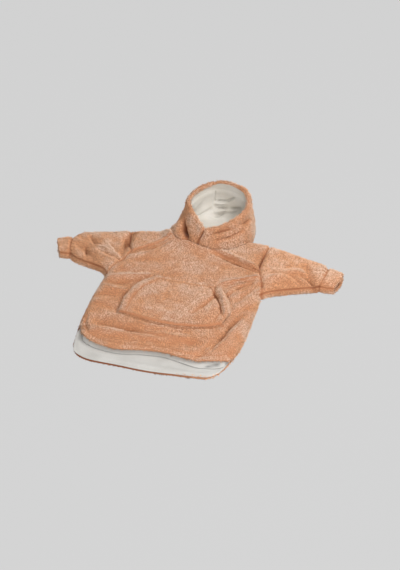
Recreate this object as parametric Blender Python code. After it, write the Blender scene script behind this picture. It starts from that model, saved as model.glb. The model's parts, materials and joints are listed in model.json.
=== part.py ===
# A child's wearable blanket in thick pile cloth, laid flat and face up.
# Metres, +Z up. The origin is on the surface it lies on, midway between the underarms;
# +Y runs to the hood, and left and right are as seen from the hem.

import bpy
import numpy as np

# Driving sizes
PILE_WALL = 0.008          # outer cloth with its pile
LINING_WALL = 0.0025
SEAM_GAP = 0.0003          # between pieces that meet
SEAM_HALF = 0.0002         # what each piece gives up there
PUFF = 0.041               # height of the stuffed-looking middle above the table
EDGE_ROLL = 0.036          # how far from the edge the top takes to reach that height
LOW = PILE_WALL + SEAM_GAP # the top layer starts on the back panel
CHAMFER = 0.003            # under edge of a panel on the table
HEM_LIFT = 0.013           # the open front hem stands off the back by this
HEM_OPEN_Y = -0.22         # the side vents start here
HEM_REACH = 0.17           # and are fully open this far below it
HAND_GAP = 0.0085          # room for a hand in the pouch
POUCH_WALL = 0.007
FOLD_UNDER = 0.4           # how much of a pouch crease shows on its underside
HOOD_RIM_DEPTH = 0.007     # the lining starts this far inside the rim
CURVED_LINING_GAP = 0.0008 # between a lining and the curved cloth that it lines
HOOD_ROWS = 11
HOOD_PULL = 0.62           # how far the hood's wall swings out towards its bulge
POUCH_BAND = 0.024         # facing band along each hand opening
POUCH_BAND_LEFT, POUCH_BAND_RIGHT = 0.002, 0.0055
FACING_ROWS = 5            # rows of the front's grid that its hem facing covers
FACING_ENDS = 3            # columns that it leaves free at each side
FACING_INSET = 0.2         # of a row, from the hem edge
DIAGONAL = np.array([1.0, 2.3, 0.37])

# Outlines seen from above: x, y
FRONT_SIDE_LEFT = [(-0.262, -0.392), (-0.276, -0.362), (-0.289, -0.315), (-0.296, -0.250),
                   (-0.300, -0.160), (-0.297, -0.085), (-0.293, -0.010)]
FRONT_SIDE_RIGHT = [(0.236, -0.414), (0.249, -0.385), (0.258, -0.340), (0.262, -0.290),
                    (0.266, -0.200), (0.269, -0.110), (0.271, -0.020)]
BACK_SIDE_LEFT = [(-0.279, -0.442), (-0.288, -0.405), (-0.296, -0.345), (-0.302, -0.285),
                  (-0.301, -0.160), (-0.297, -0.085), (-0.293, -0.010)]
BACK_SIDE_RIGHT = [(0.215, -0.458), (0.230, -0.420), (0.249, -0.350), (0.260, -0.280),
                   (0.265, -0.200), (0.269, -0.110), (0.271, -0.020)]
FRONT_HEM = [(-0.262, -0.392), (-0.240, -0.418), (-0.200, -0.437), (-0.128, -0.447),
             (-0.053, -0.432), (0.019, -0.425), (0.075, -0.440), (0.131, -0.454),
             (0.182, -0.449), (0.214, -0.436), (0.236, -0.414)]
BACK_HEM = [(-0.279, -0.442), (-0.256, -0.462), (-0.212, -0.479), (-0.123, -0.487),
            (-0.014, -0.497), (0.076, -0.495), (0.150, -0.492), (0.187, -0.486), (0.215, -0.458)]
ARMHOLE_LOW_LEFT = [(-0.293, -0.010), (-0.270, 0.045), (-0.250, 0.097), (-0.238, 0.145)]
ARMHOLE_HIGH_LEFT = [(-0.238, 0.145), (-0.256, 0.188), (-0.268, 0.240), (-0.281, 0.292)]
ARMHOLE_LOW_RIGHT = [(0.271, -0.020), (0.262, 0.034), (0.248, 0.082), (0.237, 0.122)]
ARMHOLE_HIGH_RIGHT = [(0.237, 0.122), (0.234, 0.168), (0.240, 0.232), (0.249, 0.298)]
SHOULDER_LEFT = [(-0.238, 0.145), (-0.205, 0.172), (-0.155, 0.218), (-0.107, 0.258)]
SHOULDER_RIGHT = [(0.043, 0.204), (0.104, 0.181), (0.170, 0.150), (0.237, 0.122)]
NECKLINE = [(-0.107, 0.258), (-0.086, 0.239), (-0.047, 0.229), (-0.010, 0.221),
            (0.017, 0.212), (0.043, 0.204)]
NECK_SIDE_LEFT = [(-0.107, 0.258), (-0.122, 0.283), (-0.134, 0.316)]
NECK_SIDE_RIGHT = [(0.043, 0.204), (0.085, 0.214), (0.127, 0.246), (0.158, 0.278), (0.176, 0.309)]
FOLD_LEFT = [(-0.281, 0.292), (-0.205, 0.305), (-0.134, 0.316)]
FOLD_NECK = [(-0.134, 0.316), (0.020, 0.316), (0.176, 0.309)]
FOLD_RIGHT = [(0.176, 0.309), (0.215, 0.305), (0.249, 0.298)]

# Sleeves and cuffs, from the armhole outwards
SLEEVE_FRONT_LEFT = [(-0.293, -0.010), (-0.314, 0.022), (-0.352, 0.039), (-0.400, 0.054),
                     (-0.438, 0.073), (-0.455, 0.088)]
SLEEVE_BACK_LEFT = [(-0.281, 0.292), (-0.337, 0.273), (-0.400, 0.256), (-0.446, 0.245),
                    (-0.466, 0.228), (-0.476, 0.205)]
SLEEVE_FRONT_RIGHT = [(0.271, -0.020), (0.295, 0.003), (0.360, 0.033), (0.415, 0.053),
                      (0.445, 0.064), (0.457, 0.073)]
SLEEVE_BACK_RIGHT = [(0.249, 0.298), (0.320, 0.272), (0.385, 0.246), (0.440, 0.226),
                     (0.465, 0.215), (0.474, 0.201)]
CUFF_START_LEFT = [(-0.455, 0.088), (-0.470, 0.146), (-0.476, 0.205)]
CUFF_START_RIGHT = [(0.457, 0.073), (0.472, 0.137), (0.474, 0.201)]
CUFF_END_LEFT = [(-0.492, 0.082), (-0.517, 0.137), (-0.532, 0.191)]
CUFF_END_RIGHT = [(0.508, 0.064), (0.529, 0.122), (0.531, 0.187)]
CUFF_FRONT_LEFT = [(-0.455, 0.088), (-0.473, 0.084), (-0.492, 0.082)]
CUFF_FRONT_RIGHT = [(0.457, 0.073), (0.482, 0.067), (0.508, 0.064)]
CUFF_BACK_LEFT = [(-0.476, 0.205), (-0.505, 0.202), (-0.532, 0.191)]
CUFF_BACK_RIGHT = [(0.474, 0.201), (0.501, 0.199), (0.531, 0.187)]

# Pouch pocket outline
POUCH_BOTTOM = [(-0.178, -0.238), (-0.096, -0.262), (-0.018, -0.275), (0.064, -0.275),
                (0.130, -0.262), (0.176, -0.240)]
POUCH_TOP = [(-0.098, -0.014), (0.006, -0.018), (0.112, -0.025)]
POUCH_LEFT = [(-0.178, -0.238), (-0.174, -0.165), (-0.154, -0.090), (-0.126, -0.045),
              (-0.098, -0.014)]
POUCH_RIGHT = [(0.176, -0.240), (0.187, -0.190), (0.178, -0.145), (0.153, -0.090),
               (0.112, -0.025)]

# Creases of the pouch: share across, share up, to the same, half width in metres, height
POUCH_FOLDS = [
    (0.66, 0.28, 0.90, 0.72, 0.014, -0.0045),
    (0.55, 0.45, 0.85, 0.85, 0.015, -0.003),
    (0.36, 0.45, 0.36, 0.70, 0.012, -0.002),
    (0.10, 0.10, 0.45, 0.16, 0.016, 0.002),
]

# Lining of the back, which shows below the front hem
LINING_HEM = [(-0.276, -0.440), (-0.254, -0.458), (-0.211, -0.475), (-0.123, -0.483),
              (-0.014, -0.493), (0.076, -0.491), (0.149, -0.488), (0.185, -0.482), (0.212, -0.456)]
LINING_LEFT = [(-0.276, -0.440), (-0.284, -0.405), (-0.291, -0.350), (-0.288, -0.302), (-0.280, -0.262),
               (-0.277, -0.200), (-0.274, -0.085), (-0.262, 0.030), (-0.230, 0.145), (-0.215, 0.220),
               (-0.190, 0.270)]
LINING_RIGHT = [(0.212, -0.456), (0.226, -0.419), (0.241, -0.350), (0.248, -0.280), (0.252, -0.200),
                (0.253, -0.110), (0.250, 0.000), (0.230, 0.100), (0.222, 0.200), (0.215, 0.268)]
LINING_TOP = [(-0.190, 0.270), (-0.130, 0.284), (-0.100, 0.295), (0.020, 0.298), (0.150, 0.294),
              (0.176, 0.284), (0.215, 0.268)]

# Creases and rolls of the top: from x, y to x, y, half width, height (troughs are negative)
FOLDS = [
    (-0.262, 0.262, -0.268, 0.190, 0.014, -0.010),  # left sleeve head
    (-0.268, 0.190, -0.262, 0.140, 0.013, -0.009),
    (-0.311, 0.181, -0.262, 0.095, 0.016, -0.006),
    (-0.398, 0.108, -0.345, 0.050, 0.015, -0.007),  # left forearm
    (-0.433, 0.135, -0.336, 0.075, 0.015, -0.006),
    (-0.360, 0.190, -0.300, 0.130, 0.018, 0.004),
    (-0.440, 0.190, -0.400, 0.160, 0.014, -0.005),
    (-0.227, 0.010, -0.120, 0.018, 0.016, -0.005),  # left side of the body
    (-0.262, -0.067, -0.196, -0.074, 0.016, -0.006),
    (-0.272, -0.150, -0.205, -0.142, 0.015, -0.006),
    (-0.262, -0.211, -0.205, -0.222, 0.015, -0.006),
    (-0.222, 0.085, -0.105, 0.105, 0.018, -0.003),
    (-0.225, -0.297, 0.060, -0.303, 0.016, -0.005),  # under the pouch
    (-0.200, -0.345, 0.050, -0.340, 0.018, 0.005),
    (-0.190, -0.375, 0.090, -0.368, 0.017, -0.005),
    (0.140, -0.405, 0.185, -0.310, 0.015, -0.009),  # diagonal crease beside the pouch
    (0.185, -0.310, 0.212, -0.215, 0.015, -0.008),
    (0.190, -0.330, 0.232, -0.240, 0.018, 0.004),
    (0.200, -0.012, 0.243, 0.050, 0.013, -0.007),   # fan towards the right underarm
    (0.203, -0.075, 0.250, 0.018, 0.013, -0.007),
    (0.210, -0.165, 0.245, -0.115, 0.015, -0.006),
    (0.262, 0.045, 0.318, 0.100, 0.016, 0.006),     # right sleeve
    (0.318, 0.100, 0.400, 0.145, 0.015, 0.005),
    (0.272, 0.035, 0.360, 0.052, 0.015, -0.005),
    (0.270, 0.100, 0.330, 0.145, 0.014, -0.005),
    (0.398, 0.152, 0.428, 0.092, 0.013, -0.008),
    (0.235, 0.205, 0.232, 0.150, 0.013, -0.008),    # right sleeve head
    (0.080, 0.120, 0.190, 0.085, 0.020, -0.003),
]
SHOULDER_RIDGE_WIDTH = 0.011
SHOULDER_RIDGE = 0.0045    # the rolled seam of the front panel at each shoulder
RIDGE_FADE = 0.25          # of its length, where it dies out at the neck

# Hood, round from the right side through the back: turn in degrees,
# the point the wall bulges to (x, y, z), then the point of the rim (x, y, z)
# Turns at the neck seam's left end, slit, right end, right fold, centre back and left fold
NECK_TURNS = [205, 261, 292, 385, 457, 497, 565]
NECK_BACK_POINTS = 15
NECK_BACK_CENTRE = 8
NECK_SLIT = 5
HOOD = [
    (-25, 0.189, 0.318, 0.052, 0.1550, 0.350, 0.120),
    (5, 0.192, 0.375, 0.020, 0.1590, 0.411, 0.130),
    (38, 0.187, 0.470, -0.010, 0.1460, 0.457, 0.146),
    (60, 0.135, 0.530, -0.020, 0.1210, 0.488, 0.158),
    (80, 0.055, 0.560, -0.030, 0.0560, 0.505, 0.167),
    (97, -0.004, 0.560, -0.030, -0.002, 0.503, 0.162),
    (120, -0.058, 0.530, -0.020, -0.050, 0.467, 0.151),
    (145, -0.108, 0.450, -0.010, -0.079, 0.427, 0.138),
    (175, -0.126, 0.376, 0.020, -0.086, 0.387, 0.127),
    (200, -0.108, 0.312, 0.060, -0.068, 0.340, 0.119),
    (222, -0.082, 0.255, 0.077, -0.040, 0.299, 0.110),
    (248, -0.035, 0.231, 0.082, -0.008, 0.264, 0.104),
    (261, 0.004, 0.219, 0.080, 0.012, 0.241, 0.100),
    (296, 0.080, 0.216, 0.080, 0.080, 0.255, 0.106),
    (318, 0.150, 0.260, 0.070, 0.133, 0.292, 0.110),
]

# Colours of the cloth
PEACH = (0.672, 0.352, 0.202, 1.0)
CREAM = (0.770, 0.745, 0.690, 1.0)

# Shares of an edge at which the grids have their points
COLUMNS_SHOULDER_LEFT = [0.0, 0.02, 0.07, 0.15, 0.30, 0.47, 0.64, 0.82, 1.0]
COLUMNS_NECK = [0.0, 0.14, 0.28, 0.43, 0.57, 0.71, 0.86, 1.0]
COLUMNS_SHOULDER_RIGHT = [0.0, 0.17, 0.34, 0.51, 0.66, 0.80, 0.90, 0.96, 0.985, 1.0]
SHARE_LEFT, SHARE_NECK = 0.31, 0.31
ROWS_SIDE = np.linspace(0, 1, 17)
ROWS_ARM_LOW = [0.0, 0.03, 0.09, 0.18, 0.32, 0.52, 0.76, 1.0]
ROWS_ARM_HIGH = [0.0, 0.25, 0.48, 0.68, 0.83, 0.93, 0.98, 1.0]
ROWS_ARM_UNDER = np.linspace(0, 1, 5)
STATIONS_SLEEVE = [0.0, 0.12, 0.24, 0.36, 0.48, 0.60, 0.71, 0.81, 0.89, 0.95, 1.0]
STATIONS_CUFF = [0.0, 0.33, 0.67, 1.0]


def dense(table, per_span=16):
    """A smooth curve through the rows of a table."""
    pts = np.array(table, float)
    if len(pts) < 3:
        return pts
    pts = np.vstack([2 * pts[0] - pts[1], pts, 2 * pts[-1] - pts[-2]])
    t = np.linspace(0, 1, per_span, endpoint=False)[:, None]
    spans = []
    for a, b, c, d in zip(pts, pts[1:], pts[2:], pts[3:]):
        spans.append(0.5 * (2 * b + (c - a) * t + (2 * a - 5 * b + 4 * c - d) * t**2
                            + (3 * b - a - 3 * c + d) * t**3))
    return np.vstack(spans + [pts[-2]])


def lengths(line):
    """How far along a line each of its points is, from 0 to 1."""
    run = np.concatenate([[0], np.cumsum(np.linalg.norm(np.diff(line, axis=0), axis=1))])
    return run / run[-1]


def sample(table, shares):
    """Points at these shares of the smooth curve's length."""
    line = dense(table)
    run = lengths(line)
    return np.stack([np.interp(shares, run, line[:, k]) for k in range(line.shape[1])], axis=1)


def joined(*lines):
    """Lines put end to end, with the shared point kept once."""
    return np.vstack([lines[0]] + [line[1:] for line in lines[1:]])


def patch(bottom, top, left, right):
    """A grid of points filled in between four edges, as [column, row]."""
    u0, u1, v0, v1 = lengths(bottom), lengths(top), lengths(left), lengths(right)
    v = np.add.outer(np.zeros(len(bottom)), (v0 + v1) / 2)[..., None]
    u = (u0[:, None] + (u1 - u0)[:, None] * v[..., 0])[..., None]
    across = (1 - v) * bottom[:, None] + v * top[:, None]
    along = (1 - u) * left[None] + u * right[None]
    corners = ((1 - u) * (1 - v) * bottom[0] + u * (1 - v) * bottom[-1]
               + (1 - u) * v * top[0] + u * v * top[-1])
    grid = across + along - corners
    grid[0], grid[-1], grid[:, 0], grid[:, -1] = left, right, bottom, top
    return grid


def side_lines():
    """The sewn and folded edges, which the top rolls down to: left, shoulders, right."""
    left = joined(*[dense(t) for t in (FRONT_SIDE_LEFT, SLEEVE_FRONT_LEFT, CUFF_FRONT_LEFT)])
    right = joined(*[dense(t) for t in (FRONT_SIDE_RIGHT, SLEEVE_FRONT_RIGHT, CUFF_FRONT_RIGHT)])
    top = joined(*[dense(t) for t in (CUFF_BACK_LEFT[::-1], SLEEVE_BACK_LEFT[::-1], FOLD_LEFT,
                                      FOLD_NECK, FOLD_RIGHT, SLEEVE_BACK_RIGHT, CUFF_BACK_RIGHT)])
    # Each line has the garment on its right as it runs
    return [left, top, right[::-1]]


SIDE_LINES = side_lines()


def near_edge(points):
    """Distance to the nearest side edge, and the way out to it."""
    best = np.full(len(points), 9.0)
    out = np.zeros((len(points), 2))
    for line in SIDE_LINES:
        a, ab = line[:-1], np.diff(line, axis=0)
        along = np.einsum("pk,sk->ps", points, ab) - np.einsum("sk,sk->s", a, ab)
        share = np.clip(along / np.einsum("sk,sk->s", ab, ab), 0, 1)
        foot = a[None] + share[..., None] * ab[None]
        away = foot - points[:, None]
        # Rounded, so that pieces that share a corner choose the same stretch of edge there
        gap = np.linalg.norm(away, axis=2).round(7)
        index = gap.argmin(axis=1)
        rows = np.arange(len(points))
        dist = gap[rows, index]
        direct = away[rows, index]
        normal = np.stack([-ab[index, 1], ab[index, 0]], axis=1)
        near = dist < 0.0004
        direct[near] = normal[near]
        direct /= np.maximum(np.linalg.norm(direct, axis=1), 1e-12)[:, None]
        closer = dist < best
        best[closer] = dist[closer]
        out[closer] = direct[closer]
    return np.maximum(best - 0.0002, 0), out


def smoothstep(x):
    x = np.clip(x, 0, 1)
    return x * x * (3 - 2 * x)


def crease(points):
    """Height added by the folds and the two rolled shoulder seams."""
    height = np.zeros(len(points))
    for x0, y0, x1, y1, width, depth in FOLDS:
        a, ab = np.array([x0, y0]), np.array([x1 - x0, y1 - y0])
        share = np.clip((points - a) @ ab / (ab @ ab), 0, 1)
        away = np.linalg.norm(points - a - share[:, None] * ab, axis=1)
        height += depth * np.exp(-(away / width) ** 2)
    for table in (SHOULDER_LEFT, SHOULDER_RIGHT[::-1]):
        line = dense(table, 4)
        gaps = np.linalg.norm(points[:, None] - line[None], axis=2)
        fade = smoothstep((1 - lengths(line)[gaps.argmin(axis=1)]) / RIDGE_FADE)
        height += fade * SHOULDER_RIDGE * np.exp(-(gaps.min(axis=1) / SHOULDER_RIDGE_WIDTH) ** 2)
    return height


def skin(points, wall):
    """Outer and inner points of the top layer over these plan points."""
    dist, out = near_edge(points)
    x = 1 - np.clip(dist / EDGE_ROLL, 0, 1)
    rise = np.sqrt(np.maximum(1 - x * x, 0))
    open_hem = smoothstep((HEM_OPEN_Y - points[:, 1]) / HEM_REACH) * (np.abs(points[:, 0]) < 0.32)
    low = LOW + HEM_LIFT * open_hem
    full = PUFF - 0.006 * smoothstep((-0.33 - points[:, 1]) / 0.12)
    fade = smoothstep(dist / EDGE_ROLL)
    folds = crease(points)
    step = 0.0005
    slope = [(crease(points + np.array(d) * step) - folds) / step for d in ((1, 0), (0, 1))]
    z = low + (full - low) * rise + folds * fade
    side = out * ((full - low) * x / EDGE_ROLL)[:, None] - np.stack(slope, 1) * (fade * rise)[:, None]
    normal = np.column_stack([side, rise])
    normal /= np.maximum(np.linalg.norm(normal, axis=1), 1e-9)[:, None]
    outer = np.column_stack([points, z])
    inner = outer - wall * normal
    inner[:, 2] = np.maximum(inner[:, 2], low)
    return outer, inner


def skin_grid(plan, wall=PILE_WALL):
    flat = plan.reshape(-1, 2)
    outer, inner = skin(flat, wall)
    return outer.reshape(plan.shape[:2] + (3,)), inner.reshape(plan.shape[:2] + (3,))


def level(plan, z):
    """Plan points at one height."""
    return np.concatenate([plan, np.full(plan.shape[:-1] + (1,), z)], axis=-1)


def quads(index, turned=False):
    """Faces of a grid of vertex numbers."""
    faces = []
    for i in range(index.shape[0] - 1):
        for j in range(index.shape[1] - 1):
            a, b, c, d = index[i, j], index[i + 1, j], index[i + 1, j + 1], index[i, j + 1]
            faces += [[c, b, a], [d, c, a]] if turned else [[a, b, c], [a, c, d]]
    return faces


def draw_back(outer, inner, edge, beside):
    """Moves one edge of a piece off its seam, towards the row beside it."""
    step = outer[beside] - outer[edge]
    step[..., 2] = 0
    step *= SEAM_HALF / np.maximum(np.linalg.norm(step, axis=-1, keepdims=True), 1e-9)
    outer[edge] += step
    inner[edge] += step


def material(name, colour, roughness):
    found = bpy.data.materials.get(name)
    if found:
        return found
    made = bpy.data.materials.new(name)
    made.use_nodes = True
    shader = made.node_tree.nodes["Principled BSDF"]
    shader.inputs["Base Color"].default_value = colour
    shader.inputs["Roughness"].default_value = roughness
    return made


def closed_wall(name, outer, inner, faces, colour):
    """One closed solid between an outer sheet and an inner one with the same faces."""
    count = len(outer)
    edges = {(face[k - 1], face[k]) for face in faces for k in range(len(face))}
    rim = sorted((a, b) for a, b in edges if (b, a) not in edges)
    walls = []
    for a, b in rim:
        # Pieces that meet split the faces of their shared edge the same way
        if outer[a] @ DIAGONAL < outer[b] @ DIAGONAL:
            walls += [[b, a, b + count], [a, a + count, b + count]]
        else:
            walls += [[b, a, a + count], [b, a + count, b + count]]
    backs = [[v + count for v in face[::-1]] for face in faces]
    mesh = bpy.data.meshes.new(name)
    corners = [[int(v) for v in face] for face in faces + backs + walls]
    mesh.from_pydata(np.vstack([outer, inner]).tolist(), [], corners)
    mesh.shade_smooth()
    mesh.set_sharp_from_angle(angle=0.9)
    made = bpy.data.objects.new(name, mesh)
    bpy.context.scene.collection.objects.link(made)
    mesh.materials.append(material(name + "_cloth", colour, 0.95))
    return made


def grid_wall(name, outer, inner, colour):
    numbers = np.arange(outer.shape[0] * outer.shape[1]).reshape(outer.shape[:2])
    return closed_wall(name, outer.reshape(-1, 3), inner.reshape(-1, 3), quads(numbers), colour)


def columns(left, neck, right):
    """The three stretches of a top edge, sampled as the panels' columns are."""
    return joined(sample(left, COLUMNS_SHOULDER_LEFT), sample(neck, COLUMNS_NECK),
                  sample(right, COLUMNS_SHOULDER_RIGHT))


def hem_columns(table):
    rest = 1 - SHARE_LEFT - SHARE_NECK
    shares = np.concatenate([np.array(COLUMNS_SHOULDER_LEFT) * SHARE_LEFT,
                             SHARE_LEFT + np.array(COLUMNS_NECK[1:]) * SHARE_NECK,
                             SHARE_LEFT + SHARE_NECK + np.array(COLUMNS_SHOULDER_RIGHT[1:]) * rest])
    return sample(table, shares)


def front_plan():
    bottom = hem_columns(FRONT_HEM)
    top = columns(SHOULDER_LEFT, NECKLINE, SHOULDER_RIGHT)
    left = joined(sample(FRONT_SIDE_LEFT, ROWS_SIDE), sample(ARMHOLE_LOW_LEFT, ROWS_ARM_LOW))
    right = joined(sample(FRONT_SIDE_RIGHT, ROWS_SIDE), sample(ARMHOLE_LOW_RIGHT, ROWS_ARM_LOW))
    return patch(bottom, top, left, right)


def make_front():
    outer, inner = skin_grid(front_plan())
    armhole = slice(len(ROWS_SIDE) - 1, None)
    draw_back(outer, inner, (slice(None), -1), (slice(None), -2))
    draw_back(outer, inner, (0, armhole), (1, armhole))
    draw_back(outer, inner, (-1, armhole), (-2, armhole))
    grid_wall("front_body", outer, inner, PEACH)


def make_front_lining():
    """The hem facing, under the front's own grid."""
    plan = front_plan()[FACING_ENDS:-FACING_ENDS, :FACING_ROWS]
    wall = PILE_WALL + CURVED_LINING_GAP
    upper, lower = skin_grid(plan, wall)[1], skin_grid(plan, wall + LINING_WALL)[1]
    for layer in (upper, lower):
        layer[:, 0] += FACING_INSET * (layer[:, 1] - layer[:, 0])
    grid_wall("front_lining", upper, lower, CREAM)


def make_back_lining():
    shares = np.linspace(0, 1, 13)
    plan = patch(sample(LINING_HEM, shares), sample(LINING_TOP, shares),
                 sample(LINING_LEFT, shares), sample(LINING_RIGHT, shares))
    base = PILE_WALL + SEAM_GAP
    grid_wall("back_lining", level(plan, base + LINING_WALL), level(plan, base), CREAM)


def make_pouch():
    """Sewn along its top and bottom, open at both sides."""
    across = np.array([0, 0.03, 0.10, 0.18, 0.28, 0.38, 0.48, 0.58, 0.68, 0.77, 0.85, 0.91, 0.97, 1.0])
    up = np.array([0, 0.06, 0.14, 0.25, 0.37, 0.5, 0.63, 0.75, 0.86, 0.94, 1.0])
    plan = patch(sample(POUCH_BOTTOM, across), sample(POUCH_TOP, across),
                 sample(POUCH_LEFT, up), sample(POUCH_RIGHT, up))
    u, v = np.meshgrid(across, up, indexing="ij")
    sewn = np.sin(np.pi * v) ** 0.6
    sewn[:, [0, -1]] = 0
    folds = np.zeros(u.shape)
    flat = np.stack([u, v], axis=-1)
    for u0, v0, u1, v1, width, height in POUCH_FOLDS:
        a, ab = np.array([u0, v0]), np.array([u1 - u0, v1 - v0])
        share = np.clip(((flat - a) @ ab) / (ab @ ab), 0, 1)
        away = (flat - a - share[..., None] * ab) * (0.32, 0.24)
        folds += height * np.exp(-(np.linalg.norm(away, axis=-1) / width) ** 2)
    left = np.linalg.norm(plan - plan[:1], axis=-1)
    right = np.linalg.norm(plan - plan[-1:], axis=-1)
    band = POUCH_BAND_LEFT * (left < POUCH_BAND) + POUCH_BAND_RIGHT * np.cos(
        np.clip(right / POUCH_BAND, 0, 1) * np.pi / 2)
    on_panel = skin_grid(plan)[0]
    lift = SEAM_GAP + sewn * (HAND_GAP + FOLD_UNDER * folds)
    thick = POUCH_WALL + sewn * (band + (1 - FOLD_UNDER) * folds)
    under, over = on_panel.copy(), on_panel.copy()
    under[..., 2] += lift
    over[..., 2] += lift + thick
    grid_wall("pocket", over, under, PEACH)


def hood_guides(turns):
    """Bulge and rim points at these turns, smooth all the way round."""
    table = np.array(sorted(HOOD), float)
    wrapped = np.vstack([table - [360, 0, 0, 0, 0, 0, 0], table, table + [360, 0, 0, 0, 0, 0, 0]])
    line = dense(wrapped, 24)
    return np.stack([np.interp(turns, line[:, 0], line[:, k]) for k in range(1, 7)], axis=1)


def neck_loop():
    """The hood's lower edge, anticlockwise from the left end of the front neckline."""
    front = sample(NECKLINE, COLUMNS_NECK)
    side_right = sample(NECK_SIDE_RIGHT, ROWS_ARM_HIGH)[1:-1]
    back = sample(FOLD_NECK, np.linspace(0, 1, NECK_BACK_POINTS))[::-1] + (0, SEAM_GAP)
    side_left = sample(NECK_SIDE_LEFT, ROWS_ARM_HIGH)[::-1][1:-1]
    plan = np.vstack([front, side_right, back, side_left])
    loop = skin(plan, PILE_WALL)[0]
    start = len(front) + len(side_right)
    loop[start:start + len(back), 2] = 0
    crown = start + NECK_BACK_CENTRE
    stops = [0, NECK_SLIT, len(front) - 1, start, crown, start + len(back) - 1, len(loop)]
    around = np.vstack([loop, loop[:1]])
    turns = np.zeros(len(around))
    for a, b, low, high in zip(stops, stops[1:], NECK_TURNS, NECK_TURNS[1:]):
        turns[a:b + 1] = low + (high - low) * lengths(around[a:b + 1])
    return loop, turns[:-1] % 360, NECK_SLIT, crown


def hood_surface():
    """The hood's outer surface as [round, up], with its normals and its two seam columns."""
    loop, turns, slit, crown = neck_loop()
    guides = hood_guides(turns)
    bulge, rim = guides[:, :3], guides[:, 3:]
    first = loop + HOOD_PULL * (bulge - loop)
    second = rim + HOOD_PULL * (bulge - rim)
    t = np.linspace(0, 1, HOOD_ROWS)[None, :, None]
    p = [x[:, None] for x in (loop, first, second, rim)]
    grid = (1 - t)**3 * p[0] + 3 * t * (1 - t)**2 * p[1] + 3 * t**2 * (1 - t) * p[2] + t**3 * p[3]
    grid[..., 2] = np.maximum(grid[..., 2], 0)
    round_way = np.roll(grid, -1, axis=0) - np.roll(grid, 1, axis=0)
    normal = np.cross(round_way, np.gradient(grid, axis=1))
    normal /= np.linalg.norm(normal, axis=-1, keepdims=True)
    flat = grid[..., 2] <= 0
    normal[flat] = (0, 0, -1)
    return grid, normal, slit, crown


def make_hood():
    grid, normal, slit, crown = hood_surface()
    count = len(grid)
    halves = {"left": np.arange(crown, slit + count + 1) % count,
              "right": np.arange(slit, crown + 1)}
    for side, ring in halves.items():
        points, way = grid[ring].copy(), normal[ring]
        points[:, 0, 1] += SEAM_HALF
        for end, other in ((0, 1), (-1, -2)):
            step = points[other] - points[end]
            step /= np.linalg.norm(step, axis=-1, keepdims=True)
            points[end] += SEAM_HALF * step
        inner = points - PILE_WALL * way
        grid_wall(f"hood_{side}", points, inner, PEACH)
        share = HOOD_RIM_DEPTH / np.linalg.norm(points[:, -1] - points[:, -2], axis=-1)
        base = PILE_WALL + CURVED_LINING_GAP
        layers = [points - base * way, points - (base + LINING_WALL) * way]
        for layer in layers:
            layer[:, -1] += share[:, None] * (layer[:, -2] - layer[:, -1])
        grid_wall(f"hood_lining_{side}", *layers, CREAM)


def make_back():
    """The back panel lies on the table and comes over both shoulders to the front seams."""
    bottom = hem_columns(BACK_HEM)
    top = columns(FOLD_LEFT, FOLD_NECK, FOLD_RIGHT)
    left = joined(sample(BACK_SIDE_LEFT, ROWS_SIDE),
                  sample(ARMHOLE_LOW_LEFT, ROWS_ARM_UNDER), sample(ARMHOLE_HIGH_LEFT, ROWS_ARM_UNDER))
    right = joined(sample(BACK_SIDE_RIGHT, ROWS_SIDE),
                   sample(ARMHOLE_LOW_RIGHT, ROWS_ARM_UNDER), sample(ARMHOLE_HIGH_RIGHT, ROWS_ARM_UNDER))
    plan = patch(bottom, top, left, right)
    under, over = level(plan, 0.0), level(plan, PILE_WALL)
    inset_under_edge(under, plan, over)
    armhole = slice(len(ROWS_SIDE) - 1, None)
    draw_back(under, over, (0, armhole), (1, armhole))
    draw_back(under, over, (-1, armhole), (-2, armhole))
    outer, inner = [under.reshape(-1, 3)], [over.reshape(-1, 3)]
    numbers = np.arange(plan.shape[0] * plan.shape[1]).reshape(plan.shape[:2])
    faces = quads(numbers, turned=True)
    count = numbers.size
    n_left = len(COLUMNS_SHOULDER_LEFT)
    n_right = len(COLUMNS_SHOULDER_RIGHT)
    flaps = [
        (SHOULDER_LEFT, FOLD_LEFT, ARMHOLE_HIGH_LEFT, NECK_SIDE_LEFT, COLUMNS_SHOULDER_LEFT,
         numbers[:n_left, -1]),
        (SHOULDER_RIGHT, FOLD_RIGHT, NECK_SIDE_RIGHT, ARMHOLE_HIGH_RIGHT, COLUMNS_SHOULDER_RIGHT,
         numbers[-n_right:, -1]),
    ]
    for seam, fold, first, last, shares, hinge in flaps:
        flap = patch(sample(seam, shares), sample(fold, shares),
                     sample(first, ROWS_ARM_HIGH), sample(last, ROWS_ARM_HIGH))
        out_grid, in_grid = skin_grid(flap)
        draw_back(out_grid, in_grid, (slice(None), 0), (slice(None), 1))
        draw_back(out_grid, in_grid, (0, slice(None)), (1, slice(None)))
        draw_back(out_grid, in_grid, (-1, slice(None)), (-2, slice(None)))
        index = count + np.arange(flap.shape[0] * flap.shape[1]).reshape(flap.shape[:2])
        count += index.size
        faces += quads(index)
        faces += quads(np.stack([index[:, -1], hinge], axis=1))
        outer.append(out_grid.reshape(-1, 3))
        inner.append(in_grid.reshape(-1, 3))
    closed_wall("back_body", np.vstack(outer), np.vstack(inner), faces, PEACH)


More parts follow.
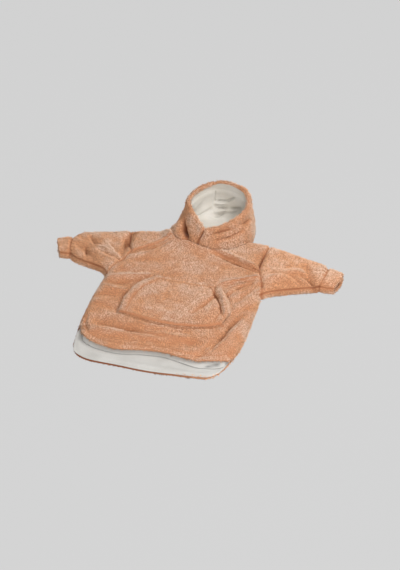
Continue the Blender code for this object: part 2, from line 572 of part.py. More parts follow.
def inset_under_edge(under, plan, over):
    """Draws in the panel's lower edge, and the inner layer at the two shoulder folds."""
    side_rows = len(ROWS_SIDE)
    middle = plan.mean(axis=(0, 1))
    for edge in ((slice(None), 0), (0, slice(0, side_rows)), (-1, slice(0, side_rows))):
        way = middle - plan[edge]
        way /= np.linalg.norm(way, axis=-1, keepdims=True)
        under[edge][..., :2] += CHAMFER * way
    last = len(COLUMNS_NECK) - 1
    left_end = len(COLUMNS_SHOULDER_LEFT)
    right_start = left_end - 1 + last
    for part in (slice(0, left_end), slice(right_start, None)):
        way = plan[part, -2] - plan[part, -1]
        way /= np.linalg.norm(way, axis=-1, keepdims=True)
        under[part, -1, :2] += CHAMFER * way
        over[part, -1, :2] += PILE_WALL * way


def tube(name, plan_top, plan_under, past_armhole):
    """A flattened sleeve: the top layer over the table layer, both [station, across]."""
    out_top, in_top = skin_grid(plan_top)
    out_under, in_under = level(plan_under, 0.0), level(plan_under, PILE_WALL)
    for edge, beside in ((0, 1), (-1, -2)):
        way = plan_under[:, beside] - plan_under[:, edge]
        way /= np.linalg.norm(way, axis=1)[:, None]
        out_under[:, edge, :2] += CHAMFER * way
        in_under[:, edge, :2] += PILE_WALL * way
        in_top[past_armhole:, edge, :2] = in_under[past_armhole:, edge, :2]
    outer = np.concatenate([out_top, out_under[:, ::-1]], axis=1)
    inner = np.concatenate([in_top, in_under[:, ::-1]], axis=1)
    draw_back(outer, inner, (0,), (1,))
    draw_back(outer, inner, (-1,), (-2,))
    stations, ring = outer.shape[:2]
    index = np.arange(stations * ring).reshape(stations, ring)
    index = np.hstack([index, index[:, :1]])
    right_side = plan_top[-1, 0, 0] > 0
    faces = quads(index, turned=not right_side)
    closed_wall(name, outer.reshape(-1, 3), inner.reshape(-1, 3), faces, PEACH)


def make_sleeve(side, low, high, front, back, start, end, cuff_front, cuff_back):
    armhole = joined(sample(low, ROWS_ARM_LOW), sample(high, ROWS_ARM_HIGH))
    armhole_under = joined(sample(low, ROWS_ARM_UNDER), sample(high, ROWS_ARM_UNDER))
    sleeve_grids, cuff_grids = [], []
    for ring in (armhole, armhole_under):
        across = lengths(ring)
        first, last = sample(start, across), sample(end, across)
        sleeve = patch(ring, first, sample(front, STATIONS_SLEEVE), sample(back, STATIONS_SLEEVE))
        cuff = patch(first, last, sample(cuff_front, STATIONS_CUFF), sample(cuff_back, STATIONS_CUFF))
        sleeve_grids.append(np.swapaxes(sleeve, 0, 1))
        cuff_grids.append(np.swapaxes(cuff, 0, 1))
    tube(f"sleeve_{side}", *sleeve_grids, past_armhole=1)
    tube(f"cuff_{side}", *cuff_grids, past_armhole=0)


def clear_scene():
    for old in list(bpy.data.objects):
        bpy.data.objects.remove(old, do_unlink=True)


def main():
    clear_scene()
    make_back()
    make_front()
    make_back_lining()
    make_front_lining()
    make_pouch()
    make_hood()
    make_sleeve("left", ARMHOLE_LOW_LEFT, ARMHOLE_HIGH_LEFT, SLEEVE_FRONT_LEFT, SLEEVE_BACK_LEFT,
                CUFF_START_LEFT, CUFF_END_LEFT, CUFF_FRONT_LEFT, CUFF_BACK_LEFT)
    make_sleeve("right", ARMHOLE_LOW_RIGHT, ARMHOLE_HIGH_RIGHT, SLEEVE_FRONT_RIGHT, SLEEVE_BACK_RIGHT,
                CUFF_START_RIGHT, CUFF_END_RIGHT, CUFF_FRONT_RIGHT, CUFF_BACK_RIGHT)


main()
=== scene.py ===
# A hooded wearable blanket in peach pile cloth with a cream lining, laid flat and face up.
# Metres, +Z up, in the frame of the solids: +Y runs to the hood, and left and right are as seen
# from the hem.
import json
from math import cos, pi, radians, sin

import bpy
import numpy as np
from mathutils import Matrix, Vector

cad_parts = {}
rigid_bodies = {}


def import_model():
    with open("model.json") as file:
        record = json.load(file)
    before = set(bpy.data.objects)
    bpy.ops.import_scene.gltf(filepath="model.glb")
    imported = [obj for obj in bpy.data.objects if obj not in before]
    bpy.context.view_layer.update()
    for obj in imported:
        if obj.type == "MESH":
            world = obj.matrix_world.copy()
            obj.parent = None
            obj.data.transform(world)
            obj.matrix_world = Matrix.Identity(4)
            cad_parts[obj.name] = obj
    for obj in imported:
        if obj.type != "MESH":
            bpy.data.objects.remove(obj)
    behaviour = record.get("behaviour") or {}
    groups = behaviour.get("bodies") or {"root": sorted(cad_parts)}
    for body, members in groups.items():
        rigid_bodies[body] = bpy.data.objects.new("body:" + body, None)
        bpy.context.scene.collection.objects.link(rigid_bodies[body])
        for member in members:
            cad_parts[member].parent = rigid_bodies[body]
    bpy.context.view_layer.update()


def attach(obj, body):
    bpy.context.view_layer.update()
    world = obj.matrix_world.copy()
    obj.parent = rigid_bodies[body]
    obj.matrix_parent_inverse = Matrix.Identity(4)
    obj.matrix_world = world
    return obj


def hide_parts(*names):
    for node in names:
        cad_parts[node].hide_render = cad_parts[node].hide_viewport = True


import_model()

# The cloth and how it lies
cloth = {
    "pileWall": 0.008,       # cloth with its pile
    "pileShare": 0.45,       # of that wall, how much is pile
    "underShare": 0.3,       # the same under the garment, where it is pressed
    "liningWall": 0.0025,
    "seamGap": 0.0003,
    "puff": 0.041,           # height of the filled-out middle
    "edgeRoll": 0.036,       # how far from an edge the top takes to reach it
    "hemLift": 0.009,        # the open front hem stands off the back
    "hemOpenY": -0.22,       # where the side vents start
    "hemReach": 0.17,
    "hemDrop": 0.010,        # the top is a little lower towards the hem
    "hemDropY": -0.33,
    "hemDropReach": 0.12,
    "hemHalfWidth": 0.32,    # what lies further out is sleeve
    "chamfer": 0.003,
}
topLow = cloth["pileWall"] + cloth["seamGap"]

# Plan outlines: x, y
plan = {
    "frontSideLeft": [(-0.275, -0.354), (-0.288, -0.330), (-0.295, -0.298), (-0.298, -0.250),
                      (-0.300, -0.160), (-0.297, -0.085), (-0.293, -0.010)],
    "frontSideRight": [(0.236, -0.400), (0.250, -0.376), (0.258, -0.338), (0.262, -0.290),
                       (0.266, -0.200), (0.269, -0.110), (0.271, -0.020)],
    "backSideLeft": [(-0.279, -0.442), (-0.288, -0.405), (-0.296, -0.345), (-0.302, -0.285),
                     (-0.301, -0.160), (-0.297, -0.085), (-0.293, -0.010)],
    "backSideRight": [(0.215, -0.458), (0.230, -0.420), (0.249, -0.350), (0.260, -0.280),
                      (0.265, -0.200), (0.269, -0.110), (0.271, -0.020)],
    "frontHem": [(-0.275, -0.354), (-0.257, -0.380), (-0.224, -0.401), (-0.180, -0.415),
                 (-0.128, -0.422), (-0.053, -0.412), (0.019, -0.410), (0.075, -0.420),
                 (0.131, -0.425), (0.182, -0.419), (0.214, -0.411), (0.236, -0.400)],
    "backHem": [(-0.279, -0.442), (-0.256, -0.462), (-0.212, -0.479), (-0.123, -0.487),
                (-0.014, -0.497), (0.076, -0.495), (0.150, -0.492), (0.187, -0.486),
                (0.215, -0.458)],
    "armLowLeft": [(-0.293, -0.010), (-0.270, 0.045), (-0.250, 0.097), (-0.238, 0.145)],
    "armHighLeft": [(-0.238, 0.145), (-0.256, 0.188), (-0.268, 0.240), (-0.281, 0.292)],
    "armLowRight": [(0.271, -0.020), (0.262, 0.034), (0.248, 0.082), (0.237, 0.122)],
    "armHighRight": [(0.237, 0.122), (0.234, 0.168), (0.240, 0.232), (0.249, 0.298)],
    "shoulderLeft": [(-0.238, 0.145), (-0.205, 0.172), (-0.155, 0.218), (-0.107, 0.258)],
    "shoulderRight": [(0.043, 0.204), (0.104, 0.181), (0.170, 0.150), (0.237, 0.122)],
    "neckline": [(-0.107, 0.258), (-0.086, 0.239), (-0.047, 0.229), (-0.010, 0.221),
                 (0.017, 0.212), (0.043, 0.204)],
    "neckSideLeft": [(-0.107, 0.258), (-0.122, 0.283), (-0.134, 0.316)],
    "neckSideRight": [(0.043, 0.204), (0.085, 0.214), (0.127, 0.246), (0.158, 0.278),
                      (0.176, 0.309)],
    "foldLeft": [(-0.281, 0.292), (-0.205, 0.305), (-0.134, 0.316)],
    "foldNeck": [(-0.134, 0.316), (0.020, 0.316), (0.176, 0.309)],
    "foldRight": [(0.176, 0.309), (0.215, 0.305), (0.249, 0.298)],
    "sleeveFrontLeft": [(-0.293, -0.010), (-0.314, 0.022), (-0.352, 0.039), (-0.400, 0.054),
                        (-0.438, 0.073), (-0.455, 0.088)],
    "sleeveBackLeft": [(-0.281, 0.292), (-0.337, 0.273), (-0.400, 0.256), (-0.446, 0.245),
                       (-0.466, 0.228), (-0.476, 0.205)],
    "sleeveFrontRight": [(0.271, -0.020), (0.295, 0.003), (0.360, 0.033), (0.415, 0.053),
                         (0.445, 0.064), (0.457, 0.073)],
    "sleeveBackRight": [(0.249, 0.298), (0.320, 0.272), (0.385, 0.246), (0.440, 0.226),
                        (0.465, 0.215), (0.474, 0.201)],
    "cuffStartLeft": [(-0.455, 0.088), (-0.470, 0.146), (-0.476, 0.205)],
    "cuffStartRight": [(0.457, 0.073), (0.472, 0.137), (0.474, 0.201)],
    "cuffEndLeft": [(-0.490, 0.087), (-0.514, 0.139), (-0.528, 0.186)],
    "cuffEndRight": [(0.505, 0.069), (0.525, 0.124), (0.527, 0.183)],
    "cuffFrontLeft": [(-0.455, 0.088), (-0.473, 0.086), (-0.490, 0.087)],
    "cuffFrontRight": [(0.457, 0.073), (0.481, 0.069), (0.505, 0.069)],
    "cuffBackLeft": [(-0.476, 0.205), (-0.504, 0.200), (-0.528, 0.186)],
    "cuffBackRight": [(0.474, 0.201), (0.500, 0.198), (0.527, 0.183)],
}

# Creases and rolls of the top: from x, y to x, y, half width, height (a trough is negative)
folds = [
    (-0.262, 0.262, -0.268, 0.190, 0.014, -0.010),   # left sleeve head
    (-0.268, 0.190, -0.262, 0.140, 0.013, -0.007),
    (-0.311, 0.181, -0.262, 0.095, 0.016, -0.006),
    (-0.398, 0.108, -0.345, 0.050, 0.015, -0.007),   # left forearm
    (-0.433, 0.135, -0.336, 0.075, 0.015, -0.006),
    (-0.360, 0.190, -0.300, 0.130, 0.018, 0.004),
    (-0.440, 0.190, -0.400, 0.160, 0.014, -0.005),
    (-0.124, 0.266, -0.134, 0.318, 0.026, 0.014),    # shoulder that stands up beside the hood
    (-0.107, 0.256, -0.047, 0.229, 0.018, 0.008),
    (-0.047, 0.229, 0.040, 0.204, 0.018, 0.008),
    (-0.227, 0.005, -0.150, 0.010, 0.016, -0.003),   # left side of the body
    (-0.262, -0.067, -0.196, -0.074, 0.016, -0.006),
    (-0.272, -0.150, -0.205, -0.142, 0.015, -0.006),
    (-0.262, -0.211, -0.205, -0.222, 0.015, -0.006),
    (-0.222, 0.085, -0.105, 0.105, 0.018, -0.003),
    (-0.225, -0.297, 0.060, -0.303, 0.016, -0.005),  # under the pouch
    (-0.200, -0.345, 0.050, -0.340, 0.018, 0.005),
    (-0.190, -0.375, 0.090, -0.368, 0.017, -0.005),
    (0.145, -0.395, 0.185, -0.310, 0.015, -0.006),   # diagonal crease beside the pouch
    (0.185, -0.310, 0.212, -0.215, 0.015, -0.006),
    (0.190, -0.330, 0.232, -0.240, 0.018, 0.004),
    (0.200, -0.012, 0.243, 0.050, 0.013, -0.007),    # fan towards the right underarm
    (0.203, -0.075, 0.250, 0.018, 0.013, -0.007),
    (0.210, -0.165, 0.245, -0.115, 0.015, -0.006),
    (0.262, 0.045, 0.318, 0.100, 0.018, 0.004),      # right sleeve
    (0.318, 0.100, 0.400, 0.145, 0.018, 0.003),
    (0.272, 0.035, 0.360, 0.052, 0.015, -0.005),
    (0.270, 0.100, 0.330, 0.145, 0.014, -0.005),
    (0.398, 0.152, 0.428, 0.092, 0.013, -0.008),
    (0.235, 0.205, 0.232, 0.150, 0.013, -0.008),     # right sleeve head
    (0.080, 0.120, 0.190, 0.085, 0.020, -0.003),
]

# Sharper creases, which only show close to: the same columns
sharpFolds = [
    (0.056, 0.186, 0.105, 0.163, 0.008, -0.004),     # below the rolled right shoulder seam
    (0.105, 0.163, 0.150, 0.140, 0.009, -0.006),
    (0.150, 0.140, 0.228, 0.106, 0.009, -0.006),
    (-0.225, 0.135, -0.172, 0.172, 0.010, -0.003),   # and below the left one
    (-0.172, 0.172, -0.118, 0.222, 0.009, -0.003),
    (-0.276, 0.262, -0.281, 0.206, 0.007, -0.0045),  # left sleeve
    (-0.281, 0.206, -0.272, 0.160, 0.007, -0.0035),
    (-0.405, 0.195, -0.383, 0.163, 0.008, -0.005),
    (-0.405, 0.131, -0.392, 0.079, 0.006, -0.004),
    (-0.409, 0.163, -0.336, 0.128, 0.008, 0.003),
    (-0.336, 0.128, -0.264, 0.086, 0.007, 0.003),
    (-0.321, 0.165, -0.291, 0.131, 0.006, -0.005),
    (-0.340, 0.114, -0.266, 0.078, 0.006, -0.004),
    (-0.268, -0.038, -0.147, -0.002, 0.010, 0.004),  # left of the pouch
    (-0.213, -0.060, -0.151, -0.032, 0.011, -0.003),
    (-0.246, -0.098, -0.210, -0.108, 0.008, 0.003),
    (-0.204, -0.319, -0.114, -0.327, 0.014, -0.005), # under the pouch
    (-0.114, -0.327, 0.093, -0.346, 0.016, -0.006),
    (-0.155, -0.293, -0.021, -0.291, 0.009, 0.003),
    (-0.277, -0.280, -0.272, -0.318, 0.004, -0.004), # down to the hem's left corner
    (-0.272, -0.318, -0.256, -0.345, 0.004, -0.004),
    (-0.128, -0.004, -0.164, -0.052, 0.005, -0.006), # beside the pouch's openings
    (-0.164, -0.052, -0.185, -0.130, 0.005, -0.007),
    (-0.185, -0.130, -0.187, -0.236, 0.005, -0.007),
    (0.132, -0.012, 0.160, -0.068, 0.005, -0.003),
    (0.160, -0.068, 0.188, -0.130, 0.006, -0.002),
    (-0.100, -0.004, 0.110, -0.013, 0.006, 0.0012),  # above its top seam
    (0.228, -0.181, 0.203, -0.240, 0.009, -0.004),   # diagonal
    (0.203, -0.240, 0.191, -0.299, 0.007, -0.005),
    (0.191, -0.299, 0.170, -0.360, 0.006, -0.006),
    (0.186, -0.298, 0.172, -0.330, 0.006, 0.004),
    (0.170, -0.352, 0.158, -0.374, 0.006, 0.004),
    (0.157, -0.065, 0.189, -0.005, 0.007, -0.006),   # fan to the right underarm
    (0.189, -0.005, 0.226, 0.032, 0.007, -0.006),
    (0.165, -0.043, 0.238, 0.045, 0.008, 0.004),
    (0.150, -0.004, 0.190, 0.030, 0.007, -0.005),
    (0.190, 0.030, 0.235, 0.054, 0.006, -0.005),
    (0.139, 0.011, 0.236, 0.068, 0.007, 0.005),
    (0.262, 0.102, 0.315, 0.130, 0.016, 0.0020),     # right sleeve
    (0.315, 0.130, 0.440, 0.138, 0.018, 0.0020),
    (0.268, 0.080, 0.333, 0.083, 0.014, 0.0015),
    (0.290, 0.103, 0.370, 0.108, 0.008, -0.0030),
    (0.355, 0.100, 0.385, 0.072, 0.006, -0.0040),
    (0.391, 0.113, 0.436, 0.076, 0.009, -0.006),
    (0.398, 0.152, 0.438, 0.150, 0.006, -0.004),
    (0.234, 0.225, 0.228, 0.160, 0.007, -0.005),     # right sleeve head
]


def dense(table, perSpan=16):
    # a smooth curve through the rows of a table
    pts = np.array(table, float)
    if len(pts) < 3:
        return pts
    pts = np.vstack([2 * pts[0] - pts[1], pts, 2 * pts[-1] - pts[-2]])
    t = np.linspace(0, 1, perSpan, endpoint=False)[:, None]
    spans = []
    for a, b, c, d in zip(pts, pts[1:], pts[2:], pts[3:]):
        spans.append(0.5 * (2 * b + (c - a) * t + (2 * a - 5 * b + 4 * c - d) * t**2
                            + (3 * b - a - 3 * c + d) * t**3))
    return np.vstack(spans + [pts[-2]])


def lengths(line):
    run = np.concatenate([[0], np.cumsum(np.linalg.norm(np.diff(line, axis=0), axis=1))])
    return run / run[-1]


def spread(line, shares):
    # points at these shares of a line's length
    run = lengths(line)
    return np.stack([np.interp(shares, run, line[:, k]) for k in range(line.shape[1])], axis=1)


def sample(table, shares):
    return spread(dense(table), shares)


def joined(*lines):
    return np.vstack([lines[0]] + [line[1:] for line in lines[1:]])


def patch(bottom, top, left, right):
    # a grid of points filled in between four edges, as [column, row]
    u0, u1, v0, v1 = lengths(bottom), lengths(top), lengths(left), lengths(right)
    v = np.add.outer(np.zeros(len(bottom)), (v0 + v1) / 2)[..., None]
    u = (u0[:, None] + (u1 - u0)[:, None] * v[..., 0])[..., None]
    across = (1 - v) * bottom[:, None] + v * top[:, None]
    along = (1 - u) * left[None] + u * right[None]
    corners = ((1 - u) * (1 - v) * bottom[0] + u * (1 - v) * bottom[-1]
               + (1 - u) * v * top[0] + u * v * top[-1])
    grid = across + along - corners
    grid[0], grid[-1], grid[:, 0], grid[:, -1] = left, right, bottom, top
    return grid


def endShares(count, pull=0.75):
    # shares from 0 to 1, closer together at both ends
    t = np.linspace(0, 1, count)
    return t - pull * np.sin(2 * pi * t) / (2 * pi)


def smoothStep(x):
    x = np.clip(x, 0, 1)
    return x * x * (3 - 2 * x)


def bell(gap, width):
    # 1 at no distance, dying out within the width
    return np.exp(-(gap / width) ** 2)


def unit(vectors):
    return vectors / np.maximum(np.linalg.norm(vectors, axis=-1, keepdims=True), 1e-9)


def segmentGap(points, a, b):
    # distance of points to a segment, in plan or in space
    a, ab = np.array(a, float), np.array(b, float) - np.array(a, float)
    share = np.clip((points - a) @ ab / (ab @ ab), 0, 1)
    return np.linalg.norm(points - a - share[..., None] * ab, axis=-1)


def creaseAt(points, a, b, width):
    # 1 along a crease, dying out sideways within its width and more slowly past its ends
    a, ab = np.array(a, float), np.array(b, float) - np.array(a, float)
    reach = np.linalg.norm(ab)
    along = (points - a) @ ab / reach
    past = np.maximum(np.maximum(-along, along - reach), 0)
    across = np.linalg.norm(points - a - (along / reach)[..., None] * ab, axis=-1)
    return np.exp(-(across / width) ** 2 - (past / (2.2 * width)) ** 2)


def addCreases(height, points, rows, gain=1.0):
    for x0, y0, x1, y1, width, depth in rows:
        height += gain * depth * creaseAt(points, (x0, y0), (x1, y1), width)
    return height


def lineGap(points, line):
    # distance of points to a smooth line of few points
    gaps = [segmentGap(points, a, b) for a, b in zip(line, line[1:])]
    return np.min(gaps, axis=0)


def curveOf(*names):
    return joined(*[dense(plan[name], 6) for name in names])


sideLines = [
    joined(*[dense(plan[n]) for n in ("frontSideLeft", "sleeveFrontLeft", "cuffFrontLeft")]),
    joined(*[dense(plan[n][::-1]) for n in ("cuffBackLeft", "sleeveBackLeft")],
           *[dense(plan[n]) for n in ("foldLeft", "foldNeck", "foldRight", "sleeveBackRight",
                                      "cuffBackRight")]),
    joined(*[dense(plan[n])
             for n in ("frontSideRight", "sleeveFrontRight", "cuffFrontRight")])[::-1],
]


edgeSearch = {"far": 9.0, "batch": 3000, "onEdge": 0.0004, "slack": 0.0002}


def nearEdge(points):
    # distance to the nearest side edge, and the way out to it
    best = np.full(len(points), edgeSearch["far"])
    out = np.zeros((len(points), 2))
    for line in sideLines:
        a, ab = line[:-1], np.diff(line, axis=0)
        for start in range(0, len(points), edgeSearch["batch"]):
            part = slice(start, start + edgeSearch["batch"])
            pts = points[part]
            along = np.einsum("pk,sk->ps", pts, ab) - np.einsum("sk,sk->s", a, ab)
            share = np.clip(along / np.einsum("sk,sk->s", ab, ab), 0, 1)
            away = a[None] + share[..., None] * ab[None] - pts[:, None]
            gap = np.linalg.norm(away, axis=2)
            index = gap.argmin(axis=1)
            rows = np.arange(len(pts))
            dist, direct = gap[rows, index], away[rows, index]
            normal = np.stack([-ab[index, 1], ab[index, 0]], axis=1)
            near = dist < edgeSearch["onEdge"]
            direct[near] = normal[near]
            direct = unit(direct)
            closer = dist < best[part]
            best[part][closer] = dist[closer]
            out[part][closer] = direct[closer]
    return np.maximum(best - edgeSearch["slack"], 0), out


# Sewn seams sink into the pile: line, half width, depth
seams = {"width": 0.0055, "depth": 0.0045, "parting": 0.004}
seamLines = [curveOf("armLowLeft", "armHighLeft"), curveOf("armLowRight", "armHighRight"),
             curveOf("shoulderLeft"), curveOf("shoulderRight"), curveOf("neckline"),
             curveOf("neckSideLeft"), curveOf("neckSideRight"),
             curveOf("cuffStartLeft"), curveOf("cuffStartRight")]
# the back's cloth rolls over each shoulder seam and stands above the front
shoulderRoll = {"Left": (0.006, 0.0035, 0.010), "Right": (0.014, 0.005, 0.016), "edge": 0.010,
                "below": 0.014, "innerEnd": (0.004, 0.03), "outerEnd": (0.012, 0.035)}
underarmSeam = {"inset": 0.0085, "width": 0.0032, "depth": 0.0035}
hemStitch = {"inset": 0.019, "width": 0.004, "depth": 0.0016}
underarmLines = [curveOf("sleeveFrontLeft", "cuffFrontLeft"),
                 curveOf("sleeveFrontRight", "cuffFrontRight")]
hemLine = curveOf("frontHem")
# where the pouch is sewn on, and the crevice below it: line, half width, depth
pouchSeams = [
    ([(-0.184, -0.240), (-0.096, -0.268), (-0.018, -0.281), (0.064, -0.281), (0.130, -0.268),
      (0.182, -0.244)], 0.0045, 0.0060),
    ([(-0.100, -0.009), (0.006, -0.013), (0.114, -0.020)], 0.0075, 0.0045),
]
pouchSeams = [(dense(line, 6), width, depth) for line, width, depth in pouchSeams]


def seamNearness(points, width):
    # 1 on a seam, dying out within the width
    gap = np.min([lineGap(points, line) for line in seamLines], axis=0)
    return bell(gap, width)


relief = {"broad": 1.2, "sharp": 1.7,   # what the two tables are raised by
          "fade": 2.2, "least": 0.4,   # how it dies out towards an edge
          "step": 0.0005}


def reliefOf(points):
    # height added by folds, rolled seams and stitching
    height = np.zeros(len(points))
    for rows, gain in ((folds, relief["broad"]), (sharpFolds, relief["sharp"])):
        addCreases(height, points, rows, gain)
    for side in ("Left", "Right"):
        line = dense(plan["shoulder" + side], 5)
        gap = lineGap(points, line)
        ahead = np.interp(points[:, 0], line[:, 0], line[:, 1])
        inner, outer = (line[-1, 0], line[0, 0]) if side == "Left" else (line[0, 0], line[-1, 0])
        sign = -1 if side == "Left" else 1
        (inset, inReach), (outset, outReach) = shoulderRoll["innerEnd"], shoulderRoll["outerEnd"]
        ends = smoothStep((sign * (points[:, 0] - inner) + inset) / inReach)
        ends *= smoothStep((outset - sign * (points[:, 0] - outer)) / outReach)
        rise, drop, width = shoulderRoll[side]
        over = rise * (1 - bell(gap, shoulderRoll["edge"])) * bell(gap, width)
        under = -drop * bell(gap, shoulderRoll["below"])
        height += ends * np.where(points[:, 1] > ahead, over, under)
    height -= seams["depth"] * seamNearness(points, seams["width"])
    for line in underarmLines:
        gap = lineGap(points, line) - underarmSeam["inset"]
        height -= underarmSeam["depth"] * bell(gap, underarmSeam["width"])
    gap = lineGap(points, hemLine) - hemStitch["inset"]
    height -= hemStitch["depth"] * bell(gap, hemStitch["width"])
    for line, width, depth in pouchSeams:
        height -= depth * bell(lineGap(points, line), width)
    return height


def skin(points, wall=cloth["pileWall"]):
    # outer and inner points of the top layer over these plan points
    dist, out = nearEdge(points)
    roll, puff = cloth["edgeRoll"], cloth["puff"]
    x = 1 - np.clip(dist / roll, 0, 1)
    rise = np.sqrt(np.maximum(1 - x * x, 0))
    openHem = smoothStep((cloth["hemOpenY"] - points[:, 1]) / cloth["hemReach"])
    openHem *= np.abs(points[:, 0]) < cloth["hemHalfWidth"]
    low = topLow + cloth["hemLift"] * openHem
    towardHem = smoothStep((cloth["hemDropY"] - points[:, 1]) / cloth["hemDropReach"])
    full = puff - cloth["hemDrop"] * towardHem
    fade = smoothStep(dist / roll * relief["fade"])
    added = reliefOf(points)
    step = relief["step"]
    slope = [(reliefOf(points + np.array(d) * step) - added) / step for d in ((1, 0), (0, 1))]
    z = low + (full - low) * rise + added * fade * np.maximum(rise, relief["least"])
    side = out * ((full - low) * x / roll)[:, None] - np.stack(slope, 1) * (fade * rise)[:, None]
    normal = unit(np.column_stack([side, rise]))
    outer = np.column_stack([points, z])
    inner = outer - wall * normal
    inner[:, 2] = np.maximum(inner[:, 2], low)
    return outer, inner


def skinGrid(grid, wall=cloth["pileWall"]):
    outer, inner = skin(grid.reshape(-1, 2), wall)
    shape = grid.shape[:2] + (3,)
    return outer.reshape(shape), inner.reshape(shape)


def level(grid, z):
    return np.concatenate([grid, np.full(grid.shape[:-1] + (1,), z)], axis=-1)


def bodyTop(outer, inner, share=cloth["pileShare"]):
    # the cloth's face, below its pile
    return outer + share * (inner - outer)


def quadsOf(index):
    a, b, c, d = index[:-1, :-1], index[1:, :-1], index[1:, 1:], index[:-1, 1:]
    return np.stack([a, b, c, d], axis=-1).reshape(-1, 4)


def makePiece(name, points, faces, material, attributes):
    mesh = bpy.data.meshes.new(name)
    mesh.from_pydata(points, [], faces)
    mesh.shade_smooth()
    mesh.set_sharp_from_angle(angle=radians(60))
    for key, values in attributes.items():
        layer = mesh.attributes.new(key, "FLOAT", "POINT")
        layer.data.foreach_set("value", np.ascontiguousarray(values, np.float32))
    mesh.materials.append(material)
    piece = bpy.data.objects.new(name, mesh)
    bpy.context.scene.collection.objects.link(piece)
    return piece


# how much the painted shading darkens along seams, and how wide: metres, or a share of the seam's
# own width
shadingShare = {"flat": 0.5, "relief": 60, "seam": (0.5, 0.003), "pouchSeam": (1.1, 0.55),
            "hem": (0.35, 0.003), "underarm": (0.8, 0.0022)}
# how far the pile parts there, and in creases
parting = {"seam": 0.75, "pouchSeam": (0.85, 0.7), "hem": (0.45, 0.003), "underarm": (0.8, 0.002),
           "crease": (80, 0.6)}


def paintedShadingOf(points):
    # painted shading: a painted highlight on ridges and painted shade in troughs, darker along
    # seams and stitching, and painted shade along the pouch's seams
    flat = points.reshape(-1, points.shape[-1])[:, :2]
    seam, seamWidth = shadingShare["seam"]
    # a painted highlight on ridges and painted shade in troughs, from the height of the relief
    nap = shadingShare["flat"] + shadingShare["relief"] * reliefOf(flat)
    nap = nap - seam * seamNearness(flat, seamWidth)
    dark, share = shadingShare["pouchSeam"]
    for line, width, _ in pouchSeams:
        nap -= dark * bell(lineGap(flat, line), share * width)
    dark, width = shadingShare["hem"]
    nap -= dark * bell(lineGap(flat, hemLine) - hemStitch["inset"], width)
    dark, width = shadingShare["underarm"]
    for line in underarmLines:
        nap -= dark * bell(lineGap(flat, line) - underarmSeam["inset"], width)
    return np.clip(nap, -1, 1).reshape(points.shape[:-1])


def shell(name, outer, inner, material, pile, innerPile=None, ring=False, turned=False, nap=None):
    # one closed sheet of cloth; pile is how much grows on each outer point
    shape = outer.shape[:2]
    count = shape[0] * shape[1]
    index = np.arange(count).reshape(shape)
    if ring:
        index = np.hstack([index, index[:, :1]])
    faces = quadsOf(index)
    if ring:
        loops = [index[0], index[-1, ::-1]]
    else:
        loops = [np.concatenate([index[:, 0], index[-1, 1:], index[-2::-1, -1], index[0, -2::-1]])]
    walls = [np.stack([loop[1:], loop[:-1], loop[:-1] + count, loop[1:] + count], axis=1)
             for loop in loops]
    if ring:
        walls = [wall[:, ::-1] for wall in walls]
    allFaces = np.vstack([faces, faces[:, ::-1] + count] + walls)
    if turned:
        allFaces = allFaces[:, ::-1]
    if innerPile is None:
        innerPile = np.zeros(shape)
    # the shading attribute carries painted highlight and painted shade to the material
    attributes = {"pile": np.concatenate([pile.ravel(), innerPile.ravel()]),
                  "nap": np.tile((paintedShadingOf(outer) if nap is None else nap).ravel(), 2),
                  "tip": np.zeros(2 * count), "tone": np.full(2 * count, 0.5)}
    points = np.vstack([outer.reshape(-1, 3), inner.reshape(-1, 3)])
    return makePiece(name, points.tolist(), allFaces.tolist(), material, attributes)


def rollOf(outer, inner, before, bulge=1.0, steps=3):
    # points round an open edge, from the outer face over to the inner one
    middle, half = (outer + inner) / 2, (outer - inner) / 2
    size = np.linalg.norm(half, axis=-1, keepdims=True)
    ahead = outer - before
    ahead = ahead - (ahead * half).sum(axis=-1, keepdims=True) * half / np.maximum(size, 1e-9) ** 2
    ahead = unit(ahead)
    turns = [pi * k / (steps + 1) for k in range(1, steps + 1)]
    return np.stack([middle + cos(t) * half + sin(t) * size * bulge * ahead for t in turns], axis=1)


def rolledShell(name, outer, inner, material, pile, innerPile, start=None, end=None, ring=False,
                turned=False, nap=None, innerShading=None):
    # one closed sheet whose section runs over the outer face, an open edge and back along the inner
    m, n = outer.shape[:2]
    parts, grown = [outer], [pile]
    if end is not None:
        parts.append(end)
        grown.append(np.ones(end.shape[:2]))
    parts.append(inner[:, ::-1])
    grown.append(innerPile[:, ::-1])
    if start is not None:
        parts.append(start[:, ::-1])
        grown.append(np.ones(start.shape[:2]))
    points, pileAll = np.concatenate(parts, axis=1), np.concatenate(grown, axis=1)
    width = points.shape[1]
    index = np.arange(m * width).reshape(m, width)
    index = np.hstack([index, index[:, :1]])
    if ring:
        index = np.vstack([index, index[:1]])
    faces = quadsOf(index).tolist()
    if not ring:
        ends = 0 if end is None else end.shape[1]
        for row, flip in ((0, False), (m - 1, True)):
            o = row * width + np.arange(n)
            i = row * width + 2 * n + ends - 1 - np.arange(n)
            cap = [[o[k], o[k + 1], i[k + 1], i[k]] for k in range(n - 1)]
            if end is not None:
                cap.append([o[-1]] + list(row * width + n + np.arange(ends)) + [i[-1]])
            if start is not None:
                across = row * width + 2 * n + ends + np.arange(start.shape[1])
                cap.append([i[0], *across, o[0]])
            faces += [face[::-1] for face in cap] if flip else cap
    if turned:
        faces = [face[::-1] for face in faces]
    faces = [[int(v) for v in face] for face in faces]
    total = m * width
    # painted highlight and painted shade, carried to the material as an attribute
    lightAndShade = np.full((m, width), 0.5)
    lightAndShade[:, :n] = paintedShadingOf(outer) if nap is None else nap
    if innerShading is not None:
        lightAndShade[:, width - n:] = innerShading[:, ::-1]
    attributes = {"pile": pileAll.ravel(), "nap": lightAndShade.ravel(), "tip": np.zeros(total),
                  "tone": np.full(total, 0.5)}
    return makePiece(name, points.reshape(-1, 3).tolist(), faces, material, attributes)


